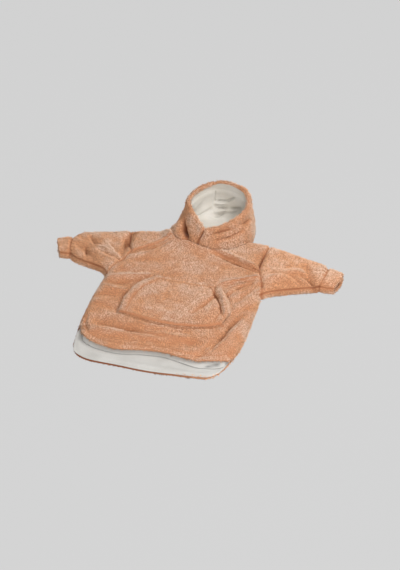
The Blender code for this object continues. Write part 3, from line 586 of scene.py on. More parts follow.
def node(tree, kind, inputs=None, **settings):
    made = tree.nodes.new(kind)
    for key, value in settings.items():
        setattr(made, key, value)
    for key, value in (inputs or {}).items():
        socket = made.inputs[key]
        if isinstance(value, bpy.types.NodeSocket):
            tree.links.new(value, socket)
        else:
            socket.default_value = value
    return made


def maths(tree, operation, a, b):
    return node(tree, "ShaderNodeMath", {0: a, 1: b}, operation=operation).outputs[0]


def vectorMaths(tree, operation, a, b):
    # b is a vector, or the amount of a scale
    return node(tree, "ShaderNodeVectorMath", {0: a, "Scale" if operation == "SCALE" else 1: b},
                operation=operation).outputs[0]


def attributeOf(tree, name, output="Fac"):
    return node(tree, "ShaderNodeAttribute", attribute_name=name).outputs[output]


def newMaterial(name):
    material = bpy.data.materials.new(name)
    material.use_nodes = True
    tree = material.node_tree
    return material, tree, tree.nodes["Principled BSDF"]


def noiseOf(tree, coords, scale, detail=2.0, rough=0.5, **extra):
    return node(tree, "ShaderNodeTexNoise", {"Vector": coords, "Scale": scale, "Detail": detail,
                                             "Roughness": rough, **extra})


def mixColour(tree, factor, a, b, blend="MIX"):
    made = node(tree, "ShaderNodeMix", data_type="RGBA", blend_type=blend)
    for socket, value in ((made.inputs[0], factor), (made.inputs[6], a), (made.inputs[7], b)):
        if isinstance(value, bpy.types.NodeSocket):
            tree.links.new(value, socket)
        else:
            socket.default_value = value
    return made.outputs[2]


def rangeOf(tree, value, low, high, toLow=0.0, toHigh=1.0):
    return node(tree, "ShaderNodeMapRange", {"Value": value, "From Min": low, "From Max": high,
                                             "To Min": toLow, "To Max": toHigh}).outputs[0]


pileFinish = {
    "warm": (0.83, 0.437, 0.236, 1.0),     # darker, warmer colour: in random patches, and painted shade in troughs
    "light": (0.92, 0.645, 0.475, 1.0),    # paler colour: in random patches, and a painted highlight on ridges
    "lightFrom": (0.65, 1.35),
    "root": (0.48, 0.215, 0.108, 1.0),     # painted shade deep between the locks, and on the bare cloth
    "rootShadeTo": 0.7,
    "trough": (0.42, 0.27, 0.20, 1.0),     # painted shade: what a deep trough leaves of the colour
    "troughFrom": (0.15, -1.1),
    "pit": (0.72, 0.58, 0.48, 1.0),        # and painted shade in the pits between curls
    "pitScale": 240.0,
    "pitFrom": (0.58, 0.68),
    "pitPatches": 11.0,
    "pitShare": (0.50, 0.60, 0.10, 1.0),
    "patchScale": 13.0,
    "fineScale": 150.0,
    "fineShare": (0.3, 0.7, 0.96, 1.04),
    "toneShare": (0.0, 1.0, 0.95, 1.05),   # from lock to lock
    "roughness": 0.95,
    "sheen": 0.25,
    "sheenTint": (1.0, 0.82, 0.70, 1.0),
    "specular": 0.15,
    "soft": 1.7,
}
white = (1.0, 1.0, 1.0, 1.0)


def makePileMaterial():
    finish = pileFinish
    material, tree, shader = newMaterial("peach_pile")
    coords = node(tree, "ShaderNodeTexCoord").outputs["Object"]
    shadingAttr = attributeOf(tree, "nap")
    # random patches, shifted by the painted shading: paler on ridges, warmer in troughs
    patches = noiseOf(tree, coords, finish["patchScale"], 3.0, 0.6).outputs[0]
    both = maths(tree, "ADD", rangeOf(tree, patches, 0.3, 0.7), shadingAttr)
    patchesAndShading = rangeOf(tree, both, *finish["lightFrom"])
    nap = mixColour(tree, patchesAndShading, finish["warm"], finish["light"])
    fine = noiseOf(tree, coords, finish["fineScale"], 2.0).outputs[0]
    value = maths(tree, "MULTIPLY", rangeOf(tree, fine, *finish["fineShare"]),
                  rangeOf(tree, attributeOf(tree, "tone"), *finish["toneShare"]))
    toned = mixColour(tree, 1.0, nap, value, "MULTIPLY")
    # painted shade: darker towards each lock's root, darkest on the bare cloth between the locks
    rooted = rangeOf(tree, attributeOf(tree, "tip"), 0.0, finish["rootShadeTo"])
    grown = mixColour(tree, rooted, finish["root"], toned)
    # painted shade in deep troughs, by the painted shading attribute
    troughShaded = mixColour(tree, rangeOf(tree, shadingAttr, *finish["troughFrom"]), white, finish["trough"])
    sunk = mixColour(tree, 1.0, grown, troughShaded, "MULTIPLY")
    # painted shade: dark pits between curls, only in some patches
    pitShade = noiseOf(tree, coords, finish["pitScale"], 1.0).outputs[0]
    pitShade = rangeOf(tree, pitShade, *finish["pitFrom"])
    patches = noiseOf(tree, coords, finish["pitPatches"], 2.0).outputs[0]
    where = rangeOf(tree, patches, *finish["pitShare"])
    pits = mixColour(tree, maths(tree, "MULTIPLY", pitShade, where), white, finish["pit"])
    tree.links.new(mixColour(tree, 1.0, sunk, pits, "MULTIPLY"), shader.inputs["Base Color"])
    # the locks scatter light among themselves, so they shade more like the cloth they stand on
    facing = node(tree, "ShaderNodeNewGeometry").outputs["Normal"]
    kept = vectorMaths(tree, "SCALE", attributeOf(tree, "lie", "Vector"), finish["soft"])
    eased = vectorMaths(tree, "ADD", facing, kept)
    even = node(tree, "ShaderNodeVectorMath", {0: eased}, operation="NORMALIZE").outputs[0]
    tree.links.new(even, shader.inputs["Normal"])
    shader.inputs["Roughness"].default_value = finish["roughness"]
    shader.inputs["Sheen Weight"].default_value = finish["sheen"]
    shader.inputs["Sheen Tint"].default_value = finish["sheenTint"]
    shader.inputs["Specular IOR Level"].default_value = finish["specular"]
    return material


# linings: what both share, then each one's own
# the crease range turns the painted shading into painted shade in creases
liningFinish = {"clouds": 14.0, "pit": 0.86, "creaseShadeFrom": (-0.5, 0.5, 0.35, 1.0), "bump": 0.5,
                "roughness": 0.95, "sheen": 0.2, "specular": 0.15}
hemLiningFinish = {
    "light": (0.56, 0.545, 0.515, 1.0),
    "shade": (0.49, 0.475, 0.445, 1.0),
    "loops": 620.0,
    "loopDepth": 0.0012,
}
hoodLiningFinish = {
    "light": (0.75, 0.715, 0.655, 1.0),
    "shade": (0.68, 0.635, 0.560, 1.0),
    "loops": 900.0,
    "loopDepth": 0.0005,
}


def makeLiningMaterial(name, own):
    finish = {**liningFinish, **own}
    material, tree, shader = newMaterial(name)
    coords = node(tree, "ShaderNodeTexCoord").outputs["Object"]
    clouds = noiseOf(tree, coords, finish["clouds"], 3.0).outputs[0]
    loops = node(tree, "ShaderNodeTexVoronoi", {"Vector": coords, "Scale": finish["loops"]})
    base = mixColour(tree, rangeOf(tree, clouds, 0.35, 0.65), finish["shade"], finish["light"])
    pits = rangeOf(tree, loops.outputs["Distance"], 0.0, 0.7, 1.0, finish["pit"])
    # painted shade in creases, from the painted shading attribute
    creases = rangeOf(tree, attributeOf(tree, "nap"), *finish["creaseShadeFrom"])
    creased = mixColour(tree, 1.0, base, creases, "MULTIPLY")
    tree.links.new(mixColour(tree, 1.0, creased, pits, "MULTIPLY"), shader.inputs["Base Color"])
    bump = node(tree, "ShaderNodeBump", {"Height": pits, "Strength": finish["bump"],
                                         "Distance": finish["loopDepth"]})
    tree.links.new(bump.outputs[0], shader.inputs["Normal"])
    shader.inputs["Roughness"].default_value = finish["roughness"]
    shader.inputs["Sheen Weight"].default_value = finish["sheen"]
    shader.inputs["Specular IOR Level"].default_value = finish["specular"]
    return material


threadFinish = {"twist": 900.0, "shade": (0.62, 0.57, 0.49, 1), "light": (0.76, 0.72, 0.65, 1),
                "roughness": 0.6}


def makeThreadMaterial():
    material, tree, shader = newMaterial("cream_thread")
    coords = node(tree, "ShaderNodeTexCoord").outputs["Object"]
    twist = node(tree, "ShaderNodeTexWave", {"Vector": coords, "Scale": threadFinish["twist"],
                                             "Distortion": 2.0})
    colour = mixColour(tree, twist.outputs["Fac"], threadFinish["shade"], threadFinish["light"])
    tree.links.new(colour, shader.inputs["Base Color"])
    shader.inputs["Roughness"].default_value = threadFinish["roughness"]
    return material


# a lock of the pile: a bent tuft of three sides, rounded at its tip
lockShape = {"variants": 4, "sides": 3, "midHeight": 0.58, "midWidth": 0.86, "midLean": 0.22,
             "lean": 0.75, "leanFrom": (0.5, 1.1), "sway": 0.3, "tip": (0.15, 0.7, 1.0), "seed": 7}


def makeLocks(material):
    rng = np.random.default_rng(lockShape["seed"])
    sides = lockShape["sides"]
    holder = bpy.data.collections.new("locks")
    bpy.context.scene.collection.children.link(holder)
    for k in range(lockShape["variants"]):
        turn = rng.uniform(0, 2 * pi, 2)
        lean = lockShape["lean"] * rng.uniform(*lockShape["leanFrom"])
        points = []
        for height, width, shift in ((0.0, 1.0, 0.0),
                                     (lockShape["midHeight"], lockShape["midWidth"],
                                                       lockShape["midLean"])):
            for s in range(sides):
                a = turn[0] + s * 2 * pi / sides + height
                points.append((width * cos(a) + shift, width * sin(a), height))
        points.append((lean, rng.uniform(-lockShape["sway"], lockShape["sway"]), 1.0))
        faces = [(s, (s + 1) % sides, sides + (s + 1) % sides, sides + s) for s in range(sides)]
        tips = [(sides + s, sides + (s + 1) % sides, 2 * sides) for s in range(sides)]
        mesh = bpy.data.meshes.new(f"lock_{k}")
        mesh.from_pydata(points, [], faces + tips)
        mesh.shade_smooth()
        # how far from its root each ring is, which the material uses for painted shade at the roots
        low, middle, high = lockShape["tip"]
        layer = mesh.attributes.new("tip", "FLOAT", "POINT")
        layer.data.foreach_set("value", [low] * sides + [middle] * sides + [high])
        mesh.materials.append(material)
        holder.objects.link(bpy.data.objects.new(f"lock_{k}", mesh))
    return holder


def newTree(name, geometryIn, geometryOut, inputs):
    # a node tree with named inputs, and each one's identifier
    tree = bpy.data.node_groups.new(name, "GeometryNodeTree")
    sockets = {}
    for key, kind, value in [(geometryIn, "Geometry", None), *inputs]:
        made = tree.interface.new_socket(name=key, in_out="INPUT", socket_type="NodeSocket" + kind)
        if value is not None:
            made.default_value = value
        sockets[key] = made.identifier
    tree.interface.new_socket(name=geometryOut, in_out="OUTPUT", socket_type="NodeSocketGeometry")
    return tree, sockets


def randomOf(tree, kind, low, high, seed):
    first, output = {"FLOAT_VECTOR": (0, 0), "FLOAT": (2, 1), "INT": (4, 2)}[kind]
    return node(tree, "FunctionNodeRandomValue", {first: low, first + 1: high, "Seed": seed},
                data_type=kind).outputs[output]


def centred(tree, colour):
    return vectorMaths(tree, "SUBTRACT", colour, (0.5, 0.5, 0.5))


def realized(name, data, tree, sockets, values):
    # a throwaway carrier holds the node tree, and its result becomes a plain mesh
    carrier = bpy.data.objects.new(name + "_carrier", data)
    bpy.context.scene.collection.objects.link(carrier)
    modifier = carrier.modifiers.new(tree.name, "NODES")
    modifier.node_group = tree
    for key, value in values.items():
        modifier[sockets[key]] = value
    graph = bpy.context.evaluated_depsgraph_get()
    mesh = bpy.data.meshes.new_from_object(carrier.evaluated_get(graph))
    mesh.name = name
    made = bpy.data.objects.new(name, mesh)
    bpy.context.scene.collection.objects.link(made)
    bpy.data.objects.remove(carrier, do_unlink=True)
    return made


# how the locks grow; the sizes of each piece's own pile stand where it is grown
pileGrowth = {
    "least": 0.04,                       # no lock where the pile is shorter than this share
    "densest": 260000.0,
    "swirlScale": 38.0,
    "clumpScale": 150.0,
    "tall": (0.32, 0.68, 0.72, 1.20),    # clumps stand taller than what is between them
    "stray": 0.35,
    "vary": (0.75, 1.25),
    "floor": 0.0002,
}


def makePileTree():
    growth = pileGrowth
    tree, sockets = newTree("pile", "Cloth", "Pile", [
        ("Spacing", "Float", 0.003), ("Length", "Float", 0.006), ("Width", "Float", 0.002),
        ("Nap", "Vector", (0, -1, 0)), ("Lean", "Float", 0.8), ("Swirl", "Float", 0.8),
        ("Clump", "Float", 2.0), ("Seed", "Int", 1), ("Locks", "Collection", None),
        ("Finish", "Material", None)])
    given = node(tree, "NodeGroupInput").outputs
    amount = node(tree, "GeometryNodeInputNamedAttribute", {"Name": "pile"},
                  data_type="FLOAT").outputs[0]
    grows = node(tree, "FunctionNodeCompare", {0: amount, 1: growth["least"]},
                 operation="GREATER_THAN").outputs[0]
    scatter = node(tree, "GeometryNodeDistributePointsOnFaces",
                   {"Mesh": given["Cloth"], "Selection": grows, "Distance Min": given["Spacing"],
                    "Density Max": growth["densest"], "Density Factor": 1.0, "Seed": given["Seed"]},
                   distribute_method="POISSON")
    # which way a lock points: off the cloth, with the nap, in swirls, clumps and a little astray
    place = node(tree, "GeometryNodeInputPosition").outputs[0]
    swirl = noiseOf(tree, place, growth["swirlScale"], 2.0).outputs["Color"]
    clumps = noiseOf(tree, place, growth["clumpScale"], 1.0)
    stray = randomOf(tree, "FLOAT_VECTOR", (-1.0, -1.0, -1.0), (1.0, 1.0, 1.0), 3)
    way = scatter.outputs["Normal"]
    for part, share in ((given["Nap"], given["Lean"]), (centred(tree, swirl), given["Swirl"]),
                        (centred(tree, clumps.outputs["Color"]), given["Clump"]),
                        (stray, growth["stray"])):
        way = vectorMaths(tree, "ADD", way, vectorMaths(tree, "SCALE", part, share))
    stand = node(tree, "FunctionNodeAlignRotationToVector", {"Vector": way}, axis="Z").outputs[0]
    about = node(tree, "FunctionNodeAxisAngleToRotation",
                 {"Axis": (0, 0, 1), "Angle": randomOf(tree, "FLOAT", 0.0, 2 * pi, 4)}).outputs[0]
    turn = node(tree, "FunctionNodeRotateRotation", {"Rotation": stand, "Rotate By": about},
                rotation_space="LOCAL").outputs[0]
    # how large it is
    tall = rangeOf(tree, clumps.outputs[0], *growth["tall"])
    varied = maths(tree, "MULTIPLY", randomOf(tree, "FLOAT", *growth["vary"], 5), tall)
    size = node(tree, "ShaderNodeCombineXYZ", {"X": given["Width"], "Y": given["Width"],
                                               "Z": given["Length"]}).outputs[0]
    scale = vectorMaths(tree, "SCALE", size, maths(tree, "MULTIPLY", varied, amount))
    lock = node(tree, "GeometryNodeCollectionInfo",
                {"Collection": given["Locks"], "Separate Children": True, "Reset Children": True})
    which = randomOf(tree, "INT", 0, lockShape["variants"] - 1, 6)
    rooted = node(tree, "GeometryNodeStoreNamedAttribute",
                  {"Geometry": scatter.outputs["Points"], "Name": "lie",
                   "Value": scatter.outputs["Normal"]},
                  data_type="FLOAT_VECTOR", domain="POINT").outputs[0]
    placed = node(tree, "GeometryNodeInstanceOnPoints",
                  {"Points": rooted, "Instance": lock.outputs[0], "Pick Instance": True,
                   "Instance Index": which, "Rotation": turn, "Scale": scale})
    toned = node(tree, "GeometryNodeStoreNamedAttribute",
                 {"Geometry": placed.outputs[0], "Name": "tone",
                  "Value": randomOf(tree, "FLOAT", 0.0, 1.0, 8)},
                 data_type="FLOAT", domain="INSTANCE")
    real = node(tree, "GeometryNodeRealizeInstances", {"Geometry": toned.outputs[0]})
    # nothing reaches below the surface that the garment lies on
    xyz = node(tree, "ShaderNodeSeparateXYZ", {0: place}).outputs
    height = maths(tree, "MAXIMUM", xyz[2], growth["floor"])
    lifted = node(tree, "ShaderNodeCombineXYZ", {"X": xyz[0], "Y": xyz[1], "Z": height})
    kept = node(tree, "GeometryNodeSetPosition", {"Geometry": real.outputs[0],
                                                  "Position": lifted.outputs[0]})
    done = node(tree, "GeometryNodeSetMaterial", {"Geometry": kept.outputs[0],
                                                  "Material": given["Finish"]})
    node(tree, "NodeGroupOutput", {"Pile": done.outputs[0]})
    return tree, sockets


def growPile(piece, name, seed, **sizes):
    values = {"Locks": locks, "Finish": pileMaterial, "Seed": seed, **pileSizes, **sizes}
    grown = realized(name, piece.data.copy(), pileTree, pileSockets, values)
    print(name, len(grown.data.polygons) // 6, "locks")
    return grown


pileSizes = {"Spacing": 0.0026, "Length": 0.0060, "Width": 0.0017, "Nap": (0.0, -1.0, 0.0),
             "Lean": 0.45, "Swirl": 1.0, "Clump": 2.0}


def partedIn(points, rows):
    # how far the pile parts in the troughs of these creases
    gain, share = parting["crease"]
    parted = np.zeros(points.shape[:-1])
    for x0, y0, x1, y1, width, height in rows:
        if height < 0:
            crease = creaseAt(points, (x0, y0), (x1, y1), share * width)
            parted = np.maximum(parted, gain * -height * crease)
    return parted


def seamedPile(points):
    # the pile is short along seams, stitching and creases
    flat = points.reshape(-1, points.shape[-1])[:, :2]
    parted = np.maximum(parting["seam"] * seamNearness(flat, seams["parting"]),
                        partedIn(flat, sharpFolds))
    amount, width = parting["underarm"]
    for line in underarmLines:
        gap = lineGap(flat, line) - underarmSeam["inset"]
        parted = np.maximum(parted, amount * bell(gap, width))
    amount, width = parting["hem"]
    gap = lineGap(flat, hemLine) - hemStitch["inset"]
    parted = np.maximum(parted, amount * bell(gap, width))
    amount, share = parting["pouchSeam"]
    for line, width, _ in pouchSeams:
        parted = np.maximum(parted, amount * bell(lineGap(flat, line), share * width))
    return (1 - parted).reshape(points.shape[:-1])


# front
front = {"columns": 132, "rows": 160, "lowShare": 0.68, "hemPile": 0.6, "pile": {"Spacing": 0.0030},
         "cut": (0.60, 0.74), "area": 0.385}


def frontPlan(columns, rows):
    across = endShares(columns)
    lowRows = int(rows * front["lowShare"])
    hem = sample(plan["frontHem"], across)
    top = joined(*[dense(plan[n]) for n in ("shoulderLeft", "neckline", "shoulderRight")])
    sides = []
    for side in ("Left", "Right"):
        sides.append(joined(sample(plan["frontSide" + side], np.linspace(0, 1, lowRows)),
                            sample(plan["armLow" + side], np.linspace(0, 1, rows - lowRows))))
    return patch(hem, spread(top, across), *sides)


def makeFront():
    grid = frontPlan(front["columns"], front["rows"])
    outer, inner = skinGrid(grid)
    base = bodyTop(outer, inner)
    pile = seamedPile(base)
    innerPile = np.zeros(pile.shape)
    innerPile[:, :2] = front["hemPile"]
    roll = rollOf(base[:, 0], inner[:, 0], base[:, 1])
    return rolledShell("front_panel", base, inner, pileMaterial, pile, innerPile, start=roll)


# back: it lies on the floor and comes over both shoulders
back = {
    "columns": 60, "rows": 90, "lowShare": 0.6, "flapRows": 46,
    "insetUnder": 0.003, "insetOver": 0.0055, "drawIn": 0.020, "overDrop": 0.0004,
    "sidePile": 0.7, "foldPile": 0.9,
    # by x, from left to right
    "hemPile": ((-0.28, 0.6), (-0.05, 0.65), (0.05, 1.0), (0.22, 1.15)),
    "overPile": ((0.04, 0.2), (0.12, 1.0)),
    # painted shading of the back's rim: darker at the left and middle, where it lies in shade,
    # paler at the right
    "nap": ((-0.05, -0.9), (0.12, -0.4), (0.20, 0.5)),
    "pile": {"Lean": 0.1, "Length": 0.0080, "Spacing": 0.0022, "Swirl": 1.6, "Clump": 3.0},
    "cut": (0.62, 0.92), "area": 0.50, "flapCut": (0.17, 0.16), "flapArea": 0.0185,
}


def makeBack():
    across = endShares(back["columns"], 0.9)
    lowRows = int(back["rows"] * back["lowShare"])
    top = joined(*[dense(plan[n]) for n in ("foldLeft", "foldNeck", "foldRight")])
    sides = []
    for side in ("Left", "Right"):
        arm = joined(dense(plan["armLow" + side]), dense(plan["armHigh" + side]))
        sides.append(joined(sample(plan["backSide" + side], np.linspace(0, 1, lowRows)),
                            spread(arm, np.linspace(0, 1, back["rows"] - lowRows))))
    grid = patch(sample(plan["backHem"], across), spread(top, across), *sides)
    under = level(grid, cloth["pileWall"] * cloth["underShare"])
    over = level(grid, cloth["pileWall"] - back["overDrop"])
    # both faces draw in towards the rim, the upper one a little more, so the wall faces out and up
    middle = grid.mean(axis=(0, 1))
    for edge in (grid[:, :1], grid[:, -1:], grid[:1], grid[-1:]):
        way = unit(middle - edge)
        near = bell(np.linalg.norm(grid - edge, axis=-1, keepdims=True), back["drawIn"])
        under[..., :2] += back["insetUnder"] * near * way
        over[..., :2] += back["insetOver"] * near * way
    # the underside's pile shows only round its edge
    pile = np.zeros(grid.shape[:2])
    pile[[0, -1]] = back["sidePile"]
    pile[:, -1] = back["foldPile"]
    pile[:, 0] = np.interp(grid[:, 0, 0], *zip(*back["hemPile"]))
    upper = pile * np.interp(grid[..., 0], *zip(*back["overPile"]))
    lightAndShade = np.interp(grid[..., 0], *zip(*back["nap"]))
    return shell("back_panel", over, under, pileMaterial, upper, pile, nap=lightAndShade)


def makeFlap(side, seam, fold, first, last):
    # the back's cloth between a shoulder seam and the fold behind it
    count = back["flapRows"]
    across, rows = endShares(count, 0.5), 1 - (1 - np.linspace(0, 1, count)) ** 1.5
    flap = patch(sample(plan[seam], across), sample(plan[fold], across),
                 sample(plan[first], rows), sample(plan[last], rows))
    outer, inner = skinGrid(flap)
    base = bodyTop(outer, inner)
    return shell(f"shoulder_{side}", base, inner, pileMaterial, seamedPile(base))


# sleeves and cuffs
sleeve = {"top": 60, "under": 16, "stations": {"sleeve": 64, "cuff": 22},
          "pileLength": {"sleeve": 0.0060, "cuff": 0.0048}, "napY": -0.25, "innerPile": 0.7,
          "cut": (0.46, 0.30), "area": 0.105, "cuffCut": (0.30, 0.075), "cuffArea": 0.0145}
# pleats at the cuff seam, with each part's length and how strongly it is gathered
gathers = {"count": 11, "depth": 0.0024, "reach": 0.035, "sway": (1.7, 11),
           "sleeve": (0.19, 1), "cuff": (0.055, 0.35)}


def gathered(points, way, share, along, sign):
    # small pleats that die out away from the cuff seam
    sway, often = gathers["sway"]
    wave = np.sin(share * 2 * pi * gathers["count"] + sway * np.sin(share * often + sign))
    return points + (gathers["depth"] * wave * along)[..., None] * way


def makeTube(name, side, part, grids):
    topPlan, underPlan = grids
    outTop, inTop = skinGrid(topPlan)
    outUnder, inUnder = level(underPlan, 0.0), level(underPlan, cloth["pileWall"])
    for edge, beside in ((0, 1), (-1, -2)):
        way = unit(underPlan[:, beside] - underPlan[:, edge])
        outUnder[:, edge, :2] += cloth["chamfer"] * way
        inUnder[:, edge, :2] += cloth["pileWall"] * way
        inTop[1:, edge, :2] = inUnder[1:, edge, :2]
    baseTop = bodyTop(outTop, inTop)
    baseUnder = bodyTop(outUnder, inUnder, cloth["underShare"])
    outward = unit(outTop - inTop)
    count = topPlan.shape[0]
    seamAt = np.linspace(0, 1, count)[:, None]
    share = np.linspace(0, 1, topPlan.shape[1])[None, :]
    length, strength = gathers[part]
    fromSeam = 1 - seamAt if part == "sleeve" else seamAt
    near = smoothStep(1 - fromSeam / (gathers["reach"] / length))
    near = near * np.sin(pi * share) ** 0.5 * strength
    baseTop = gathered(baseTop, outward, share, near, 1 if side == "left" else -1)
    outer = np.concatenate([baseTop, baseUnder[:, ::-1]], axis=1)
    inner = np.concatenate([inTop, inUnder[:, ::-1]], axis=1)
    pile = seamedPile(outer)
    pile[:, topPlan.shape[1] + 2:-2] = 0.0
    innerPile = np.zeros(pile.shape)
    roll = None
    if part == "cuff":
        innerPile[-3:] = sleeve["innerPile"]
        roll = rollOf(outer[-1], inner[-1], outer[-2])
    outer, inner, pile, innerPile = [np.swapaxes(x, 0, 1)
                                     for x in (outer, inner, pile, innerPile)]
    return rolledShell(name, outer, inner, pileMaterial, pile, innerPile, end=roll, ring=True,
                       turned=side == "right")


def makeSleeve(side):
    tag = side.capitalize()
    armhole = joined(dense(plan["armLow" + tag]), dense(plan["armHigh" + tag]))
    grids = {"sleeve": [], "cuff": []}
    for count in (sleeve["top"], sleeve["under"]):
        shares = endShares(count, 0.8) if count == sleeve["top"] else np.linspace(0, 1, count)
        rings = [spread(armhole, shares), sample(plan["cuffStart" + tag], shares),
                 sample(plan["cuffEnd" + tag], shares)]
        for part, start, end in zip(grids, rings, rings[1:]):
            along = np.linspace(0, 1, sleeve["stations"][part])
            made = patch(start, end, sample(plan[part + "Front" + tag], along),
                         sample(plan[part + "Back" + tag], along))
            grids[part].append(np.swapaxes(made, 0, 1))
    return [makeTube(f"{part}_{side}_cloth", side, part, grids[part]) for part in grids]


# pouch
pouch = {
    "columns": 96, "rows": 84, "handGap": 0.0085, "wall": 0.007, "foldUnder": 0.4,
    "bottom": [(-0.178, -0.238), (-0.096, -0.262), (-0.018, -0.275), (0.064, -0.275),
               (0.130, -0.262), (0.176, -0.240)],
    "top": [(-0.098, -0.014), (0.006, -0.018), (0.112, -0.025)],
    "left": [(-0.178, -0.238), (-0.174, -0.165), (-0.154, -0.090), (-0.126, -0.045),
             (-0.098, -0.014)],
    "right": [(0.176, -0.240), (0.187, -0.190), (0.178, -0.145), (0.153, -0.090),
              (0.112, -0.025)],
    "band": 0.026, "bandLeft": 0.004, "bandRight": 0.0065, "leftDrop": 0.0005, "dropWidth": 0.020,
    "thin": (0.55, 0.45, 0.006),        # the wall at an opening, what it gains, and within what
    "stitchWidth": 0.003, "stitchDepth": 0.0016,
    "ridge": 0.0055, "ridgeShare": 0.045,         # along the top seam; shares are of the height
    "sunk": 0.003, "sunkShare": 0.02,             # where it is sewn down
    # a painted highlight on the ridge along the top seam and a painted shadow line below it, each
    # as strength, share from the top and width
    "seamHighlight": (0.35, 0.05, 0.02), "seamShadow": (0.8, 0.11, 0.018),
    "gapUnder": 0.0015, "least": 0.0012, "pressed": 0.8, "edgePile": 0.7,
    "stitchPile": 0.6, "sunkPile": 0.8,
    # painted shading: painted shade in the dents and a painted highlight on the ridges, lighter
    # along the left opening, darker along the stitching and where it is sewn down
    "nap": {"flat": 0.5, "dents": 70, "left": (0.35, 0.022), "stitch": 0.9, "sunk": 0.7},
    "cut": (0.37, 0.27), "area": 0.082,
}
# creases of the pouch: from x, y to x, y, half width, height
pouchFolds = [
    (0.121, -0.108, 0.098, -0.163, 0.007, -0.0080),
    (0.098, -0.163, 0.073, -0.206, 0.008, -0.0050),
    (0.110, -0.020, 0.120, -0.091, 0.005, -0.0080),
    (0.120, -0.091, 0.132, -0.108, 0.009, -0.0110),
    (0.132, -0.108, 0.160, -0.174, 0.005, -0.0080),
    (0.160, -0.174, 0.174, -0.208, 0.006, -0.0060),
    (0.118, -0.010, 0.158, -0.127, 0.009, 0.0050),
    (0.158, -0.127, 0.176, -0.180, 0.009, 0.0040),
    (-0.043, -0.102, -0.040, -0.151, 0.006, -0.0030),
    (-0.120, -0.215, 0.020, -0.232, 0.014, 0.0030),
    (0.010, -0.075, 0.080, -0.130, 0.020, 0.0020),
    (0.128, -0.160, 0.120, -0.210, 0.012, 0.0040),
]


def makePouch():
    across, up = endShares(pouch["columns"], 0.7), endShares(pouch["rows"], 0.7)
    grid = patch(sample(pouch["bottom"], across), sample(pouch["top"], across),
                 sample(pouch["left"], up), sample(pouch["right"], up))
    v = np.add.outer(np.zeros(len(across)), up)
    sewn = np.clip(np.sin(pi * v), 0, 1) ** 0.6
    dents = addCreases(np.zeros(v.shape), grid, pouchFolds)
    left, right = lineGap(grid, dense(pouch["left"], 5)), lineGap(grid, dense(pouch["right"], 5))
    band = (pouch["bandLeft"] * smoothStep(1.5 - left / pouch["band"])
            + pouch["bandRight"] * np.cos(np.clip(right / pouch["band"], 0, 1) * pi / 2))
    stitch = (bell(left - pouch["band"], pouch["stitchWidth"])
              + bell(right - pouch["band"], pouch["stitchWidth"]))
    drop = pouch["leftDrop"] * bell(left, pouch["dropWidth"])
    lift = cloth["seamGap"] + sewn * (pouch["handGap"] - drop + pouch["foldUnder"] * dents)
    atEdge, gained, within = pouch["thin"]
    thick = pouch["wall"] * (atEdge + gained * np.minimum(1, np.minimum(left, right) / within))
    thick = thick + sewn * (band + (1 - pouch["foldUnder"]) * dents)
    thick = thick - pouch["stitchDepth"] * stitch * sewn
    sunk = bell(np.minimum(v, 1 - v), pouch["sunkShare"])
    under, over = [skinGrid(grid)[0] for _ in range(2)]
    under[..., 2] += lift + pouch["gapUnder"]
    over[..., 2] += lift + thick - cloth["pileWall"] * cloth["pileShare"] * pouch["pressed"]
    over[..., 2] = np.maximum(over[..., 2], under[..., 2] + pouch["least"])
    over[..., 2] += pouch["ridge"] * bell(1 - v, pouch["ridgeShare"]) - pouch["sunk"] * sunk
    pile = (1 - pouch["stitchPile"] * np.clip(stitch, 0, 1)) * (1 - pouch["sunkPile"] * sunk)
    pile = np.minimum(pile, 1 - partedIn(grid, pouchFolds))
    shade = pouch["nap"]
    lightAndShade = shade["flat"] + shade["dents"] * dents + shade["left"][0] * bell(left, shade["left"][1])
    lightAndShade = lightAndShade - shade["stitch"] * stitch * sewn - shade["sunk"] * sunk
    # painted highlight along the top seam's ridge, painted shadow line below it
    (light, lightAt, lightWidth), (dark, darkAt, darkWidth) = pouch["seamHighlight"], pouch["seamShadow"]
    lightAndShade += light * bell(1 - v - lightAt, lightWidth) - dark * bell(1 - v - darkAt, darkWidth)
    over, under, pile, lightAndShade = [np.swapaxes(x, 0, 1) for x in (over, under, pile, lightAndShade)]
    innerPile = np.zeros(pile.shape)
    innerPile[:, :2] = innerPile[:, -2:] = pouch["edgePile"]
    rolls = [rollOf(over[:, e], under[:, e], over[:, b]) for e, b in ((0, 1), (-1, -2))]
    return rolledShell("pouch_cloth", over, under, pileMaterial, np.clip(pile, 0, 1), innerPile,
                       *rolls, turned=True, nap=np.clip(lightAndShade, -1, 1))


# linings at the hem
hemLining = {
    "columns": 80, "rows": 70, "cut": (0.56, 0.80), "area": 0.41,
    "rimDepth": 0.0012, "stitchInset": 0.010, "stitchDepth": 0.0006, "stitchWidth": 0.0015,
    "stitchZ": 0.0112, "waveUnder": 0.9, "nap": (0.5, 80), "stitchNap": (0.10, 0.0012),
    "hem": [(-0.276, -0.440), (-0.254, -0.458), (-0.211, -0.475), (-0.123, -0.483),
            (-0.014, -0.493), (0.076, -0.491), (0.149, -0.488), (0.185, -0.482), (0.212, -0.456)],
    "left": [(-0.276, -0.440), (-0.284, -0.405), (-0.291, -0.350), (-0.288, -0.302),
             (-0.280, -0.262), (-0.277, -0.200), (-0.274, -0.085), (-0.262, 0.030),
             (-0.230, 0.145), (-0.215, 0.220), (-0.190, 0.270)],
    "right": [(0.212, -0.456), (0.226, -0.419), (0.241, -0.350), (0.248, -0.280), (0.252, -0.200),
              (0.253, -0.110), (0.250, 0.000), (0.230, 0.100), (0.222, 0.200), (0.215, 0.268)],
    "top": [(-0.190, 0.270), (-0.130, 0.284), (-0.100, 0.295), (0.020, 0.298), (0.150, 0.294),
            (0.176, 0.284), (0.215, 0.268)],
}
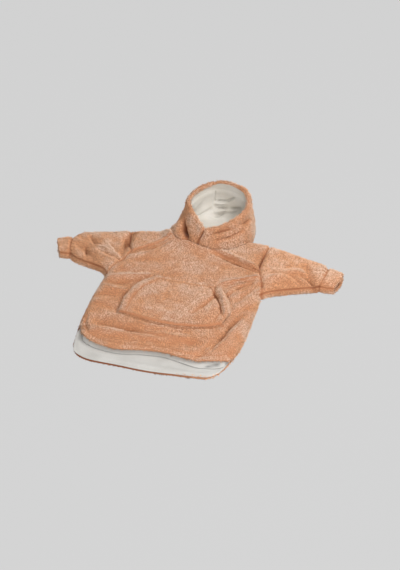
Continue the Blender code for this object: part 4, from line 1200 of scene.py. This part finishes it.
# soft waves of the lining that shows below the front: the same columns as the folds
liningFolds = [
    (-0.200, -0.462, 0.040, -0.474, 0.008, 0.0014),
    (-0.060, -0.458, 0.120, -0.466, 0.007, -0.0012),
    (0.060, -0.478, 0.180, -0.470, 0.007, 0.0016),
    (0.150, -0.462, 0.205, -0.445, 0.006, -0.0012),
    (-0.250, -0.440, -0.272, -0.400, 0.008, 0.0015),
]
facing = {"rows": 26, "ends": 7, "gap": 0.0006, "restZ": 0.0122, "restRows": 5.0,
          "reach": (0.92, 0.08), "wave": 0.0008,     # share of its table's length, what waves add
          # a slit in the facing: where it runs, how deep it dips, and the painted shadow in it
          "slit": ((0.174, -0.436), (0.200, -0.428), 0.0042), "slitDepth": 0.002, "slitShadow": 1.5,
          "least": 0.0015, "waves": (55, 3, 17),
          "hem": [(-0.268, -0.378), (-0.240, -0.402), (-0.200, -0.420), (-0.128, -0.431),
                  (-0.053, -0.421), (0.019, -0.418), (0.075, -0.432), (0.131, -0.447),
                  (0.182, -0.445), (0.214, -0.434), (0.232, -0.414)],
          "cut": (0.50, 0.10), "area": 0.045}


def makeBackLining():
    across, up = endShares(hemLining["columns"], 0.6), np.linspace(0, 1, hemLining["rows"]) ** 1.4
    grid = patch(sample(hemLining["hem"], across), sample(hemLining["top"], across),
                 sample(hemLining["left"], up), sample(hemLining["right"], up))
    waves = addCreases(np.zeros(grid.shape[:2]), grid, liningFolds)
    over, under = level(grid, topLow + cloth["liningWall"]), level(grid, topLow)
    over[..., 2] += waves
    under[..., 2] += np.maximum(waves, 0) * hemLining["waveUnder"]
    rims = [lineGap(grid, dense(hemLining[edge], 5)) for edge in ("hem", "left", "right")]
    rim = np.min(rims, axis=0)
    inset = hemLining["stitchInset"]
    over[..., 2] -= hemLining["rimDepth"] * bell(rim, hemLining["stitchWidth"])
    over[..., 2] -= hemLining["stitchDepth"] * bell(rim - inset, hemLining["stitchWidth"])
    none = np.zeros(grid.shape[:2])
    # painted shading: painted shade in the troughs of the waves, darker along the stitch line
    (flat, trough), (dark, width) = hemLining["nap"], hemLining["stitchNap"]
    lightAndShade = flat + trough * np.minimum(waves, 0) - dark * bell(rim - inset, width)
    return shell("back_lining_cloth", over, under, terryMaterial, none, nap=lightAndShade)


def makeFacing():
    # the front's hem facing, a little longer than its cloth, so a cream edge shows
    ends = facing["ends"]
    grid = frontPlan(front["columns"], front["rows"])[ends:-ends, :facing["rows"]]
    wall = cloth["pileWall"]
    upper = skinGrid(grid, wall + facing["gap"])[1]
    lower = skinGrid(grid, wall + facing["gap"] + cloth["liningWall"])[1]
    out = sample(facing["hem"], endShares(front["columns"]))[ends:-ends] - grid[:, 0]
    fade = smoothStep(1 - np.arange(facing["rows"]) / facing["restRows"])[None, :, None]
    often, sway, slow = facing["waves"]
    wavy = 0.5 + 0.5 * np.sin(grid[:, :1, 0] * often + sway * np.sin(grid[:, :1, 0] * slow))
    for layer in (upper, lower):
        share = facing["reach"][0] + facing["reach"][1] * wavy[..., None]
        layer[..., :2] += share * fade * out[:, None]
        layer[..., 2] += (facing["restZ"] + facing["wave"] * wavy - layer[..., 2]) * fade[..., 0]
    slit = creaseAt(upper[..., :2], *facing["slit"])
    upper[..., 2] = np.maximum(upper[..., 2] - facing["slitDepth"] * slit,
                               lower[..., 2] + facing["least"])
    none = np.zeros(grid.shape[:2])
    # painted shadow in the slit
    return shell("front_lining_cloth", upper, lower, terryMaterial, none,
                 nap=0.5 - facing["slitShadow"] * slit)


# hood

# round from the right side through the back: turn in degrees, the point the wall bulges to,
# then the point of the rim
hoodTable = [
    (-25, 0.189, 0.318, 0.052, 0.143, 0.354, 0.120),
    (5, 0.192, 0.375, 0.020, 0.146, 0.405, 0.130),
    (38, 0.187, 0.470, -0.010, 0.134, 0.438, 0.147),
    (60, 0.135, 0.530, -0.020, 0.112, 0.459, 0.156),
    (80, 0.055, 0.560, -0.030, 0.056, 0.488, 0.161),
    (97, -0.004, 0.560, -0.030, -0.002, 0.492, 0.157),
    (120, -0.058, 0.530, -0.020, -0.049, 0.458, 0.149),
    (145, -0.108, 0.450, -0.010, -0.075, 0.422, 0.140),
    (175, -0.126, 0.376, 0.020, -0.084, 0.386, 0.128),
    (200, -0.108, 0.312, 0.060, -0.068, 0.342, 0.120),
    (222, -0.082, 0.255, 0.077, -0.039, 0.300, 0.110),
    (248, -0.035, 0.231, 0.082, -0.009, 0.260, 0.104),
    (261, 0.004, 0.219, 0.080, 0.012, 0.237, 0.100),
    (296, 0.080, 0.216, 0.080, 0.076, 0.267, 0.106),
    (318, 0.150, 0.260, 0.070, 0.117, 0.309, 0.110),
]
hood = {
    "turns": [205, 261, 292, 385, 457, 497, 565],  # slit, neckline's end, folds, centre back
    "front": (36, 30), "side": 36, "back": (66, 54), "sideLeft": 27, "rows": 84,
    "slitShare": 0.645, "crownOff": 0.071,   # where the slit and the crown seam meet the neck
    "pull": 0.62, "easing": 16, "evenRows": 8, "evening": 30,
    "lowest": 0.0006, "wallLowest": 0.0030, "creaseReach": 0.030,
    "rimRoll": 0.006, "rimThick": 0.001, "rimWrap": 0.007, "wrapWidth": 0.02,
    "brim": 0.0065, "brimWidth": 0.014, "brimRight": 0.7,
    "brimFrom": (0.05, 0.06),               # the brim grows from this x, over this far
    "leastWall": 0.0015, "neckDrop": 0.014, "neckWidth": 0.004, "neckAbove": 0.02,
    "overRimX": (0.02, 0.05), "overRimY": (0.27, 0.05), "overRimReach": 0.006,
    "seamDepth": 0.005, "seamWidth": 0.0045, "partingWidth": 0.0050,
    "neckPile": 0.5, "creasePile": 60, "pileAbove": 0.004, "leastPile": 0.1, "bulge": 1.5,
    # painted shading of the hood's pile: painted shade in its creases, darker where the pile comes
    # over the rim at the left and along the slit and crown seams
    "nap": {"flat": 0.5, "leftward": 0.3, "creases": 65, "seam": (1.4, 0.003), "least": -1.1},
    "pile": {"Nap": (0.0, -0.5, -0.8), "Lean": 0.55, "Length": 0.0068, "Clump": 2.8},
    "cut": (0.28, 0.30), "area": 0.064, "liningCut": (0.27, 0.29), "liningArea": 0.058,
}
# creases of the hood's outside: from a point to a point, half width, height
hoodFolds = [
    ((0.030, 0.222, 0.090), (0.052, 0.236, 0.094), 0.006, -0.006),
    ((0.052, 0.236, 0.094), (0.124, 0.284, 0.104), 0.007, -0.010),
    ((0.124, 0.284, 0.104), (0.171, 0.393, 0.086), 0.008, -0.010),
    ((0.056, 0.220, 0.074), (0.105, 0.249, 0.080), 0.007, -0.009),
    ((0.105, 0.249, 0.080), (0.150, 0.300, 0.082), 0.008, -0.008),
    ((0.070, 0.226, 0.084), (0.130, 0.270, 0.092), 0.007, 0.004),
    ((0.020, 0.235, 0.082), (0.060, 0.225, 0.084), 0.012, 0.003),
    ((-0.084, 0.300, 0.088), (-0.074, 0.274, 0.080), 0.010, -0.019),
    ((-0.074, 0.274, 0.080), (-0.054, 0.244, 0.060), 0.011, -0.023),
    ((-0.118, 0.310, 0.046), (-0.104, 0.306, 0.060), 0.014, 0.008),
    ((-0.104, 0.280, 0.050), (-0.075, 0.250, 0.048), 0.010, 0.005),
    ((-0.050, 0.300, 0.100), (-0.024, 0.242, 0.076), 0.012, 0.004),
    ((0.012, 0.240, 0.100), (-0.014, 0.220, 0.052), 0.0035, -0.009),
    ((0.024, 0.234, 0.098), (-0.002, 0.214, 0.052), 0.005, 0.003),
]
# its lining stands a little inside; its creases are troughs back to the wall, positive rows ridges
hoodLining = {
    "gap": 0.0008, "puff": 0.010, "puffReach": 0.040,
    "stitchInset": 0.019, "stitchWidth": 0.0022, "stitchDepth": 0.0012, "threadLift": 0.0003,
    "rimRise": (0.0020, 0.0030), "tuck": 0.006, "tuckWidth": 0.010, "bulge": 1.4,
    # the lining's painted shade in creases, and a darker stitch line
    "nap": 0.5, "creaseShade": 24, "stitchNap": 0.10,
}
hoodLiningFolds = [
    ((-0.016, 0.480, 0.052), (0.081, 0.484, 0.060), 0.0032, -0.010),
    ((0.081, 0.484, 0.060), (0.117, 0.479, 0.075), 0.0060, -0.012),
    ((0.004, 0.498, 0.079), (0.055, 0.499, 0.088), 0.0045, -0.009),
    ((0.055, 0.499, 0.088), (0.094, 0.492, 0.123), 0.0050, -0.010),
    ((-0.058, 0.440, 0.030), (-0.020, 0.470, 0.048), 0.006, -0.006),
    ((-0.008, 0.440, 0.014), (0.050, 0.476, 0.044), 0.006, -0.009),
    ((0.069, 0.470, 0.041), (0.126, 0.472, 0.077), 0.007, -0.009),
    ((-0.020, 0.492, 0.068), (0.075, 0.496, 0.078), 0.007, 0.009),
    ((0.000, 0.468, 0.034), (0.080, 0.482, 0.052), 0.007, 0.012),
    ((-0.030, 0.420, 0.020), (0.030, 0.440, 0.020), 0.012, 0.008),
    ((-0.070, 0.400, 0.060), (-0.050, 0.470, 0.110), 0.012, 0.004),
    ((-0.004, 0.490, 0.080), (-0.001, 0.497, 0.160), 0.0025, -0.006),
]


def hoodGuides(turns):
    table = np.array(sorted(hoodTable), float)
    whole = [360, 0, 0, 0, 0, 0, 0]
    line = dense(np.vstack([table - whole, table, table + whole]), 24)
    return np.stack([np.interp(turns, line[:, 0], line[:, k]) for k in range(1, 7)], axis=1)


def sharesVia(middle, counts):
    # shares from 0 to 1, one of them at the middle
    return np.concatenate([np.linspace(0, middle, counts[0] + 1),
                           np.linspace(middle, 1, counts[1] + 1)[1:]])


def neckLoop():
    # the hood's lower edge, anticlockwise from the left end of the neckline
    slit = hood["front"][0]
    line = spread(dense(plan["neckline"]), sharesVia(hood["slitShare"], hood["front"]))
    sideRight = sample(plan["neckSideRight"], np.linspace(0, 1, hood["side"] + 1))[1:-1]
    behind = sample(plan["foldNeck"][::-1], sharesVia(0.5 + hood["crownOff"], hood["back"]))
    behind = behind + (0, cloth["seamGap"])
    sideLeft = sample(plan["neckSideLeft"][::-1], np.linspace(0, 1, hood["sideLeft"] + 1))[1:-1]
    loop = skin(np.vstack([line, sideRight, behind, sideLeft]))[0]
    start = len(line) + len(sideRight)
    loop[start:start + len(behind), 2] = hood["lowest"]
    crown = start + hood["back"][0]
    stops = [0, slit, len(line) - 1, start, crown, start + len(behind) - 1, len(loop)]
    around = np.vstack([loop, loop[:1]])
    turns = np.zeros(len(around))
    for a, b, low, high in zip(stops, stops[1:], hood["turns"], hood["turns"][1:]):
        turns[a:b + 1] = low + (high - low) * lengths(around[a:b + 1])
    return loop, turns[:-1] % 360, slit, crown


def hoodSurface():
    loop, turns, slit, crown = neckLoop()
    guides = hoodGuides(turns)
    bulge, rim = guides[:, :3], guides[:, 3:]
    first = loop + hood["pull"] * (bulge - loop)
    second = rim + hood["pull"] * (bulge - rim)
    t = endShares(hood["rows"], 0.4)[None, :, None]
    p = [x[:, None] for x in (loop, first, second, rim)]
    grid = (1 - t)**3 * p[0] + 3 * t * (1 - t)**2 * p[1] + 3 * t**2 * (1 - t) * p[2] + t**3 * p[3]
    grid[..., 2] = np.maximum(grid[..., 2], hood["lowest"])
    # a little smoothing round the loop takes out the corners between its stretches
    for _ in range(hood["easing"]):
        beside = np.roll(grid, 1, axis=0) + np.roll(grid, -1, axis=0)
        grid[:, 1:] = 0.5 * grid[:, 1:] + 0.25 * beside[:, 1:]
    return grid, surfaceNormals(grid), slit, crown


def surfaceNormals(grid):
    # evened out round the loop near the neck
    roundWay = np.roll(grid, -1, axis=0) - np.roll(grid, 1, axis=0)
    normal = unit(np.cross(roundWay, np.gradient(grid, axis=1)))
    low = hood["evenRows"]
    for _ in range(hood["evening"]):
        beside = np.roll(normal, 1, axis=0) + np.roll(normal, -1, axis=0)
        normal[:, :low] = unit(normal[:, :low] + 0.5 * beside[:, :low])
    return normal


def creaseHeight(grid, normal, rows):
    # creases are measured along the wall, so a row may lie a little in front of it or behind it
    height = np.zeros(grid.shape[:2])
    for a, b, width, depth in rows:
        middle = (np.array(a) + np.array(b)) / 2
        off = ((grid - middle) * normal).sum(axis=-1, keepdims=True)
        near = np.exp(-(off[..., 0] / hood["creaseReach"]) ** 4)
        height += depth * near * creaseAt(grid - off * normal, a, b, width)
    return height[..., None]


def hoodFaces(shape, wall, creases):
    # outer and inner face of the pile cloth
    grid, normal, fromRim = shape["grid"], shape["normal"], shape["fromRim"]
    rim = bell(fromRim, hood["rimRoll"])[..., None]
    start, over = hood["brimFrom"]
    rightward = smoothStep((grid[:, -1:, 0] - start) / over)[..., None]
    brim = hood["brim"] * (1 + hood["brimRight"] * rightward)
    brim = brim * bell(fromRim, hood["brimWidth"])[..., None]
    face = grid + (creases - cloth["pileWall"] * cloth["pileShare"] + brim) * normal
    inside = wall - (cloth["pileWall"] + hood["rimThick"] * rim) * normal
    spare = ((face - inside) * normal).sum(axis=-1, keepdims=True) - hood["leastWall"]
    inside += np.minimum(0, spare) * normal
    for layer in (face, inside):
        layer[..., 2] = np.maximum(layer[..., 2], hood["wallLowest"])
    sewn = bell(shape["fromNeck"], hood["neckWidth"])[..., None]
    return face - sewn * [0, 0, hood["neckDrop"]] * (grid[..., 2:] > hood["neckAbove"]), inside


def hoodLiningFaces(shape, wall, leftward):
    # the lining's two faces, pressed in by the outside's creases, and its nap
    grid, normal, fromRim = shape["grid"], shape["normal"], shape["fromRim"]
    rim = bell(fromRim, hood["rimRoll"])[..., None]
    reach = hoodLining["puffReach"]
    away = (smoothStep(fromRim / reach) * smoothStep(shape["fromNeck"] / reach))[..., None]
    dents = creaseHeight(grid, normal, hoodLiningFolds)
    away = away * hoodLining["puff"] + dents * (away > 0)
    stitch = bell(fromRim - hoodLining["stitchInset"], hoodLining["stitchWidth"])[..., None]
    away = np.maximum(away, 0) - hoodLining["stitchDepth"] * stitch
    # painted shade in the lining's creases, darker along the stitch line
    lightAndShade = hoodLining["nap"] + hoodLining["creaseShade"] * np.minimum(dents, 0)
    lightAndShade = lightAndShade - hoodLining["stitchNap"] * stitch
    gap = cloth["pileWall"] + hoodLining["gap"] + hood["rimThick"] * rim
    outer = wall - gap * normal - away * normal
    inner = outer - cloth["liningWall"] * normal
    along = grid - np.roll(grid, 1, axis=1)
    along[:, 0] = along[:, 1]
    wrap = bell(fromRim, hood["wrapWidth"])[..., None]
    down = hood["rimWrap"] * leftward[..., None] * wrap * unit(along)
    # it stays clear of the neck seam
    atNeck = bell(shape["fromNeck"], hoodLining["tuckWidth"])[..., None]
    tucked = hoodLining["tuck"] * atNeck * normal
    layers = []
    for layer, rise in zip((outer, inner), hoodLining["rimRise"]):
        layer = layer + rise * rim * np.array([0, 0, 1.0]) - down - tucked
        layer[..., 2] = np.maximum(layer[..., 2], hood["wallLowest"])
        layers.append(layer)
    return *layers, np.clip(lightAndShade, 0, 1)[..., 0]


def makeHood():
    grid, normal, slit, crown = hoodSurface()
    count = len(grid)
    shape = {"grid": grid, "normal": normal, "slit": slit, "crown": crown,
             "fromRim": np.linalg.norm(grid - grid[:, -1:], axis=-1),
             "fromNeck": np.linalg.norm(grid - grid[:, :1], axis=-1)}
    creases = creaseHeight(grid, normal, hoodFolds)
    wall = grid + np.minimum(creases, 0) * normal
    # at the left the pile comes over the rim, elsewhere the lining does
    (fromX, overX), (fromY, overY) = hood["overRimX"], hood["overRimY"]
    leftward = smoothStep((fromX - grid[:, -1:, 0]) / overX)
    leftward = leftward * smoothStep((grid[:, -1:, 1] - fromY) / overY)
    face, inside = hoodFaces(shape, wall, creases)
    liningOuter, liningInner, liningShading = hoodLiningFaces(shape, wall, leftward)
    shade, (dark, darkWidth) = hood["nap"], hood["nap"]["seam"]
    pieces = {}
    ends = {"left": np.arange(crown, slit + count + 1) % count, "right": np.arange(slit, crown + 1)}
    for side, ring in ends.items():
        outer, inner, dents = face[ring], inside[ring], creases[ring][..., 0]
        seam = np.minimum(np.linalg.norm(grid[ring] - grid[slit], axis=-1),
                          np.linalg.norm(grid[ring] - grid[crown], axis=-1))
        outer = outer - hood["seamDepth"] * bell(seam, hood["seamWidth"])[..., None] * normal[ring]
        pile = 1 - bell(seam, hood["partingWidth"])
        pile -= hood["neckPile"] * bell(shape["fromNeck"][ring], hood["neckWidth"])
        pile += hood["creasePile"] * np.minimum(dents, 0)
        pile = np.where(grid[ring][..., 2] < hood["pileAbove"], 0.0, np.clip(pile, 0, 1))
        innerPile = leftward[ring] * np.exp(-(shape["fromRim"][ring] / hood["overRimReach"]) ** 4)
        innerPile[innerPile < hood["leastPile"]] = 0.0
        roll = rollOf(outer[:, -1], inner[:, -1], outer[:, -2], hood["bulge"])
        # painted shade in the creases; darker at the left rim and along the seams
        lightAndShade = shade["flat"] - shade["leftward"] * leftward[ring] + shade["creases"] * dents
        lightAndShade = np.clip(lightAndShade - dark * bell(seam, darkWidth), shade["least"], 1)
        pieces["hood_" + side] = rolledShell(f"hood_{side}_cloth", outer, inner, pileMaterial, pile,
                                             innerPile, end=roll, nap=lightAndShade)
        name = "hood_lining_" + side
        none = np.zeros(pile.shape)
        outer, inner = liningOuter[ring], liningInner[ring]
        lip = rollOf(outer[:, -1], inner[:, -1], outer[:, -2], hoodLining["bulge"])
        pieces[name] = rolledShell(name + "_cloth", outer, inner, jerseyMaterial, none, none,
                                   end=lip, nap=none + hoodLining["nap"], innerShading=liningShading[ring])
    return pieces, {**shape, "grid": liningInner}


# stitches
stitchSize = {"Length": 0.0034, "Pitch": 0.0046, "Radius": 0.00042}


def makeStitchTree():
    tree, sockets = newTree("stitches", "Path", "Stitches", [
        ("Pitch", "Float", 0.005), ("Length", "Float", 0.003), ("Radius", "Float", 0.0004),
        ("Finish", "Material", None)])
    given = node(tree, "NodeGroupInput").outputs
    marks = node(tree, "GeometryNodeCurveToPoints",
                 {"Curve": given["Path"], "Length": given["Pitch"]},
                 mode="LENGTH")
    stitch = node(tree, "GeometryNodeMeshUVSphere", {"Segments": 6, "Rings": 4, "Radius": 0.5})
    size = node(tree, "ShaderNodeCombineXYZ", {"X": given["Radius"], "Y": given["Radius"],
                                               "Z": given["Length"]}).outputs[0]
    placed = node(tree, "GeometryNodeInstanceOnPoints",
                  {"Points": marks.outputs["Points"], "Instance": stitch.outputs[0],
                   "Rotation": marks.outputs["Rotation"],
                   "Scale": vectorMaths(tree, "MULTIPLY", size, (2.0, 2.0, 1.0))})
    real = node(tree, "GeometryNodeRealizeInstances", {"Geometry": placed.outputs[0]})
    smooth = node(tree, "GeometryNodeSetShadeSmooth", {"Geometry": real.outputs[0]})
    done = node(tree, "GeometryNodeSetMaterial", {"Geometry": smooth.outputs[0],
                                                  "Material": given["Finish"]})
    node(tree, "NodeGroupOutput", {"Stitches": done.outputs[0]})
    return tree, sockets


def sewStitches(name, lines):
    data = bpy.data.curves.new(name, "CURVE")
    data.dimensions = "3D"
    for line in lines:
        spline = data.splines.new("POLY")
        spline.points.add(len(line) - 1)
        for point, (x, y, z) in zip(spline.points, line):
            point.co = (x, y, z, 1.0)
    return realized(name, data, stitchTree, stitchSockets, {**stitchSize, "Finish": threadMaterial})


def hoodStitchLines(guide):
    # one line inside the rim, and one on each side of the crown seam
    count, slit, crown = len(guide["grid"]), guide["slit"], guide["crown"]
    sewn = guide["grid"] - hoodLining["threadLift"] * guide["normal"]
    around = np.arange(slit + 3, slit + count - 3) % count
    rows = np.abs(guide["fromRim"][around] - hoodLining["stitchInset"]).argmin(axis=1)
    return [sewn[around, rows], sewn[crown - 2, 12:-3], sewn[crown + 2, 12:-3]]


# stage
view = {"target": (0.042, 0.032, 0.0), "distance": 4.24, "elevation": 34.1, "azimuth": 12.6,
        "lens": 75.8}
light = {"sky": 0.50,
         "main": {"power": 38.0, "at": (1.00, 0.20, 2.25), "size": 1.1},
         "fill": {"power": 46.0, "at": (0.90, -2.30, 1.40), "size": 1.6}}
floorLook = {"colour": (0.020, 0.020, 0.020, 1.0), "glow": 0.630, "half": 14.0}


def makeStage():
    elevation, azimuth = radians(view["elevation"]), radians(view["azimuth"])
    away = Vector((sin(azimuth) * cos(elevation), -cos(azimuth) * cos(elevation), sin(elevation)))
    camera = bpy.data.objects.new("camera", bpy.data.cameras.new("camera"))
    camera.data.lens = view["lens"]
    camera.location = Vector(view["target"]) + away * view["distance"]
    camera.rotation_euler = (-away).to_track_quat("-Z", "Y").to_euler()
    camera.data.clip_end = 100
    bpy.context.scene.collection.objects.link(camera)
    bpy.context.scene.camera = camera

    for name in ("main", "fill"):
        panel = bpy.data.lights.new(name + "_softbox", "AREA")
        lamp = bpy.data.objects.new(name + "_softbox", panel)
        lamp.data.energy = light[name]["power"]
        lamp.data.size = light[name]["size"]
        lamp.location = light[name]["at"]
        aim = Vector((0.0, 0.0, 0.03)) - lamp.location
        lamp.rotation_euler = aim.to_track_quat("-Z", "Y").to_euler()
        bpy.context.scene.collection.objects.link(lamp)

    world = bpy.data.worlds.new("studio")
    world.use_nodes = True
    sky = world.node_tree.nodes["Background"]
    sky.inputs[0].default_value, sky.inputs[1].default_value = white, light["sky"]
    bpy.context.scene.world = world

    material, _, shader = newMaterial("pale_floor")
    shader.inputs["Base Color"].default_value = floorLook["colour"]
    shader.inputs["Roughness"].default_value = 1.0
    shader.inputs["Specular IOR Level"].default_value = 0.0
    shader.inputs["Emission Color"].default_value = white
    shader.inputs["Emission Strength"].default_value = floorLook["glow"]
    half = floorLook["half"]
    mesh = bpy.data.meshes.new("floor")
    corners = [(-half, -half, 0), (half, -half, 0), (half, half, 0), (-half, half, 0)]
    mesh.from_pydata(corners, [], [(0, 1, 2, 3)])
    mesh.materials.append(material)
    floor = bpy.data.objects.new("floor", mesh)
    bpy.context.scene.collection.objects.link(floor)
    bpy.context.scene.view_settings.view_transform = "Standard"
    bpy.context.scene.view_settings.look = "None"
    return floor


def declare(piece, nodes, withPieces=()):
    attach(piece, "root")
    if nodes:
        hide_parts(*nodes)
    for extra in withPieces:
        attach(extra, "root")


print("materials")
pileMaterial, threadMaterial = makePileMaterial(), makeThreadMaterial()
terryMaterial = makeLiningMaterial("cream_terry", hemLiningFinish)
jerseyMaterial = makeLiningMaterial("cream_jersey", hoodLiningFinish)
locks = makeLocks(pileMaterial)
pileTree, pileSockets = makePileTree()
stitchTree, stitchSockets = makeStitchTree()

print("body")
frontPiece = makeFront()
backPiece = makeBack()
shoulders = [makeFlap("left", "shoulderLeft", "foldLeft", "armHighLeft", "neckSideLeft"),
             makeFlap("right", "shoulderRight", "foldRight", "neckSideRight", "armHighRight")]
pouchPiece = makePouch()
backLining = makeBackLining()
facingPiece = makeFacing()

print("sleeves")
sleeves = {side: makeSleeve(side) for side in ("left", "right")}

print("hood")
hoodPieces, hoodGuide = makeHood()

print("pile")
frontPile = growPile(frontPiece, "front_pile", 11, **front["pile"])
backPile = growPile(backPiece, "back_pile", 12, **back["pile"])
shoulderPile = [growPile(p, p.name + "_pile", 13 + k) for k, p in enumerate(shoulders)]
pouchPile = growPile(pouchPiece, "pouch_pile", 16)
sleevePile = {}
for side, napX in (("left", -1.0), ("right", 1.0)):
    for k, (part, piece) in enumerate(zip(("sleeve", "cuff"), sleeves[side])):
        sleevePile[piece.name] = growPile(piece, f"{part}_{side}_pile", 20 + k,
                                          Nap=(napX, sleeve["napY"], 0.0),
                                          Length=sleeve["pileLength"][part])
hoodPile = {side: growPile(hoodPieces["hood_" + side], f"hood_{side}_pile", 30 + k, **hood["pile"])
            for k, side in enumerate(("left", "right"))}

print("stitches")
hoodStitches = sewStitches("hood_stitches", hoodStitchLines(hoodGuide))
hemPath = sample(hemLining["hem"], np.linspace(0.02, 0.98, 120)) + (0.0, hemLining["stitchInset"])
hemStitches = sewStitches("hem_stitches", [level(hemPath, hemLining["stitchZ"])])

print("stage")
floor = makeStage()

print("attaching each piece in place of its part")
declare(backPiece, ["back_body"], [backPile])
for piece, pileOf in zip(shoulders, shoulderPile):
    declare(piece, [],
            [pileOf])
declare(backLining, ["back_lining"],
        [hemStitches])
declare(frontPiece, ["front_body"],
        [frontPile])
declare(facingPiece, ["front_lining"])
declare(pouchPiece, ["pocket"],
        [pouchPile])
for side, (tube, cuff) in sleeves.items():
    declare(tube, ["sleeve_" + side],
            [sleevePile[tube.name]])
    declare(cuff, ["cuff_" + side],
            [sleevePile[cuff.name]])
    declare(hoodPieces["hood_" + side], ["hood_" + side],
            [hoodPile[side]])
    declare(hoodPieces["hood_lining_" + side], ["hood_lining_" + side],
            [hoodStitches] if side == "left" else [])

for lock in list(locks.objects):
    bpy.data.objects.remove(lock, do_unlink=True)
bpy.data.collections.remove(locks)
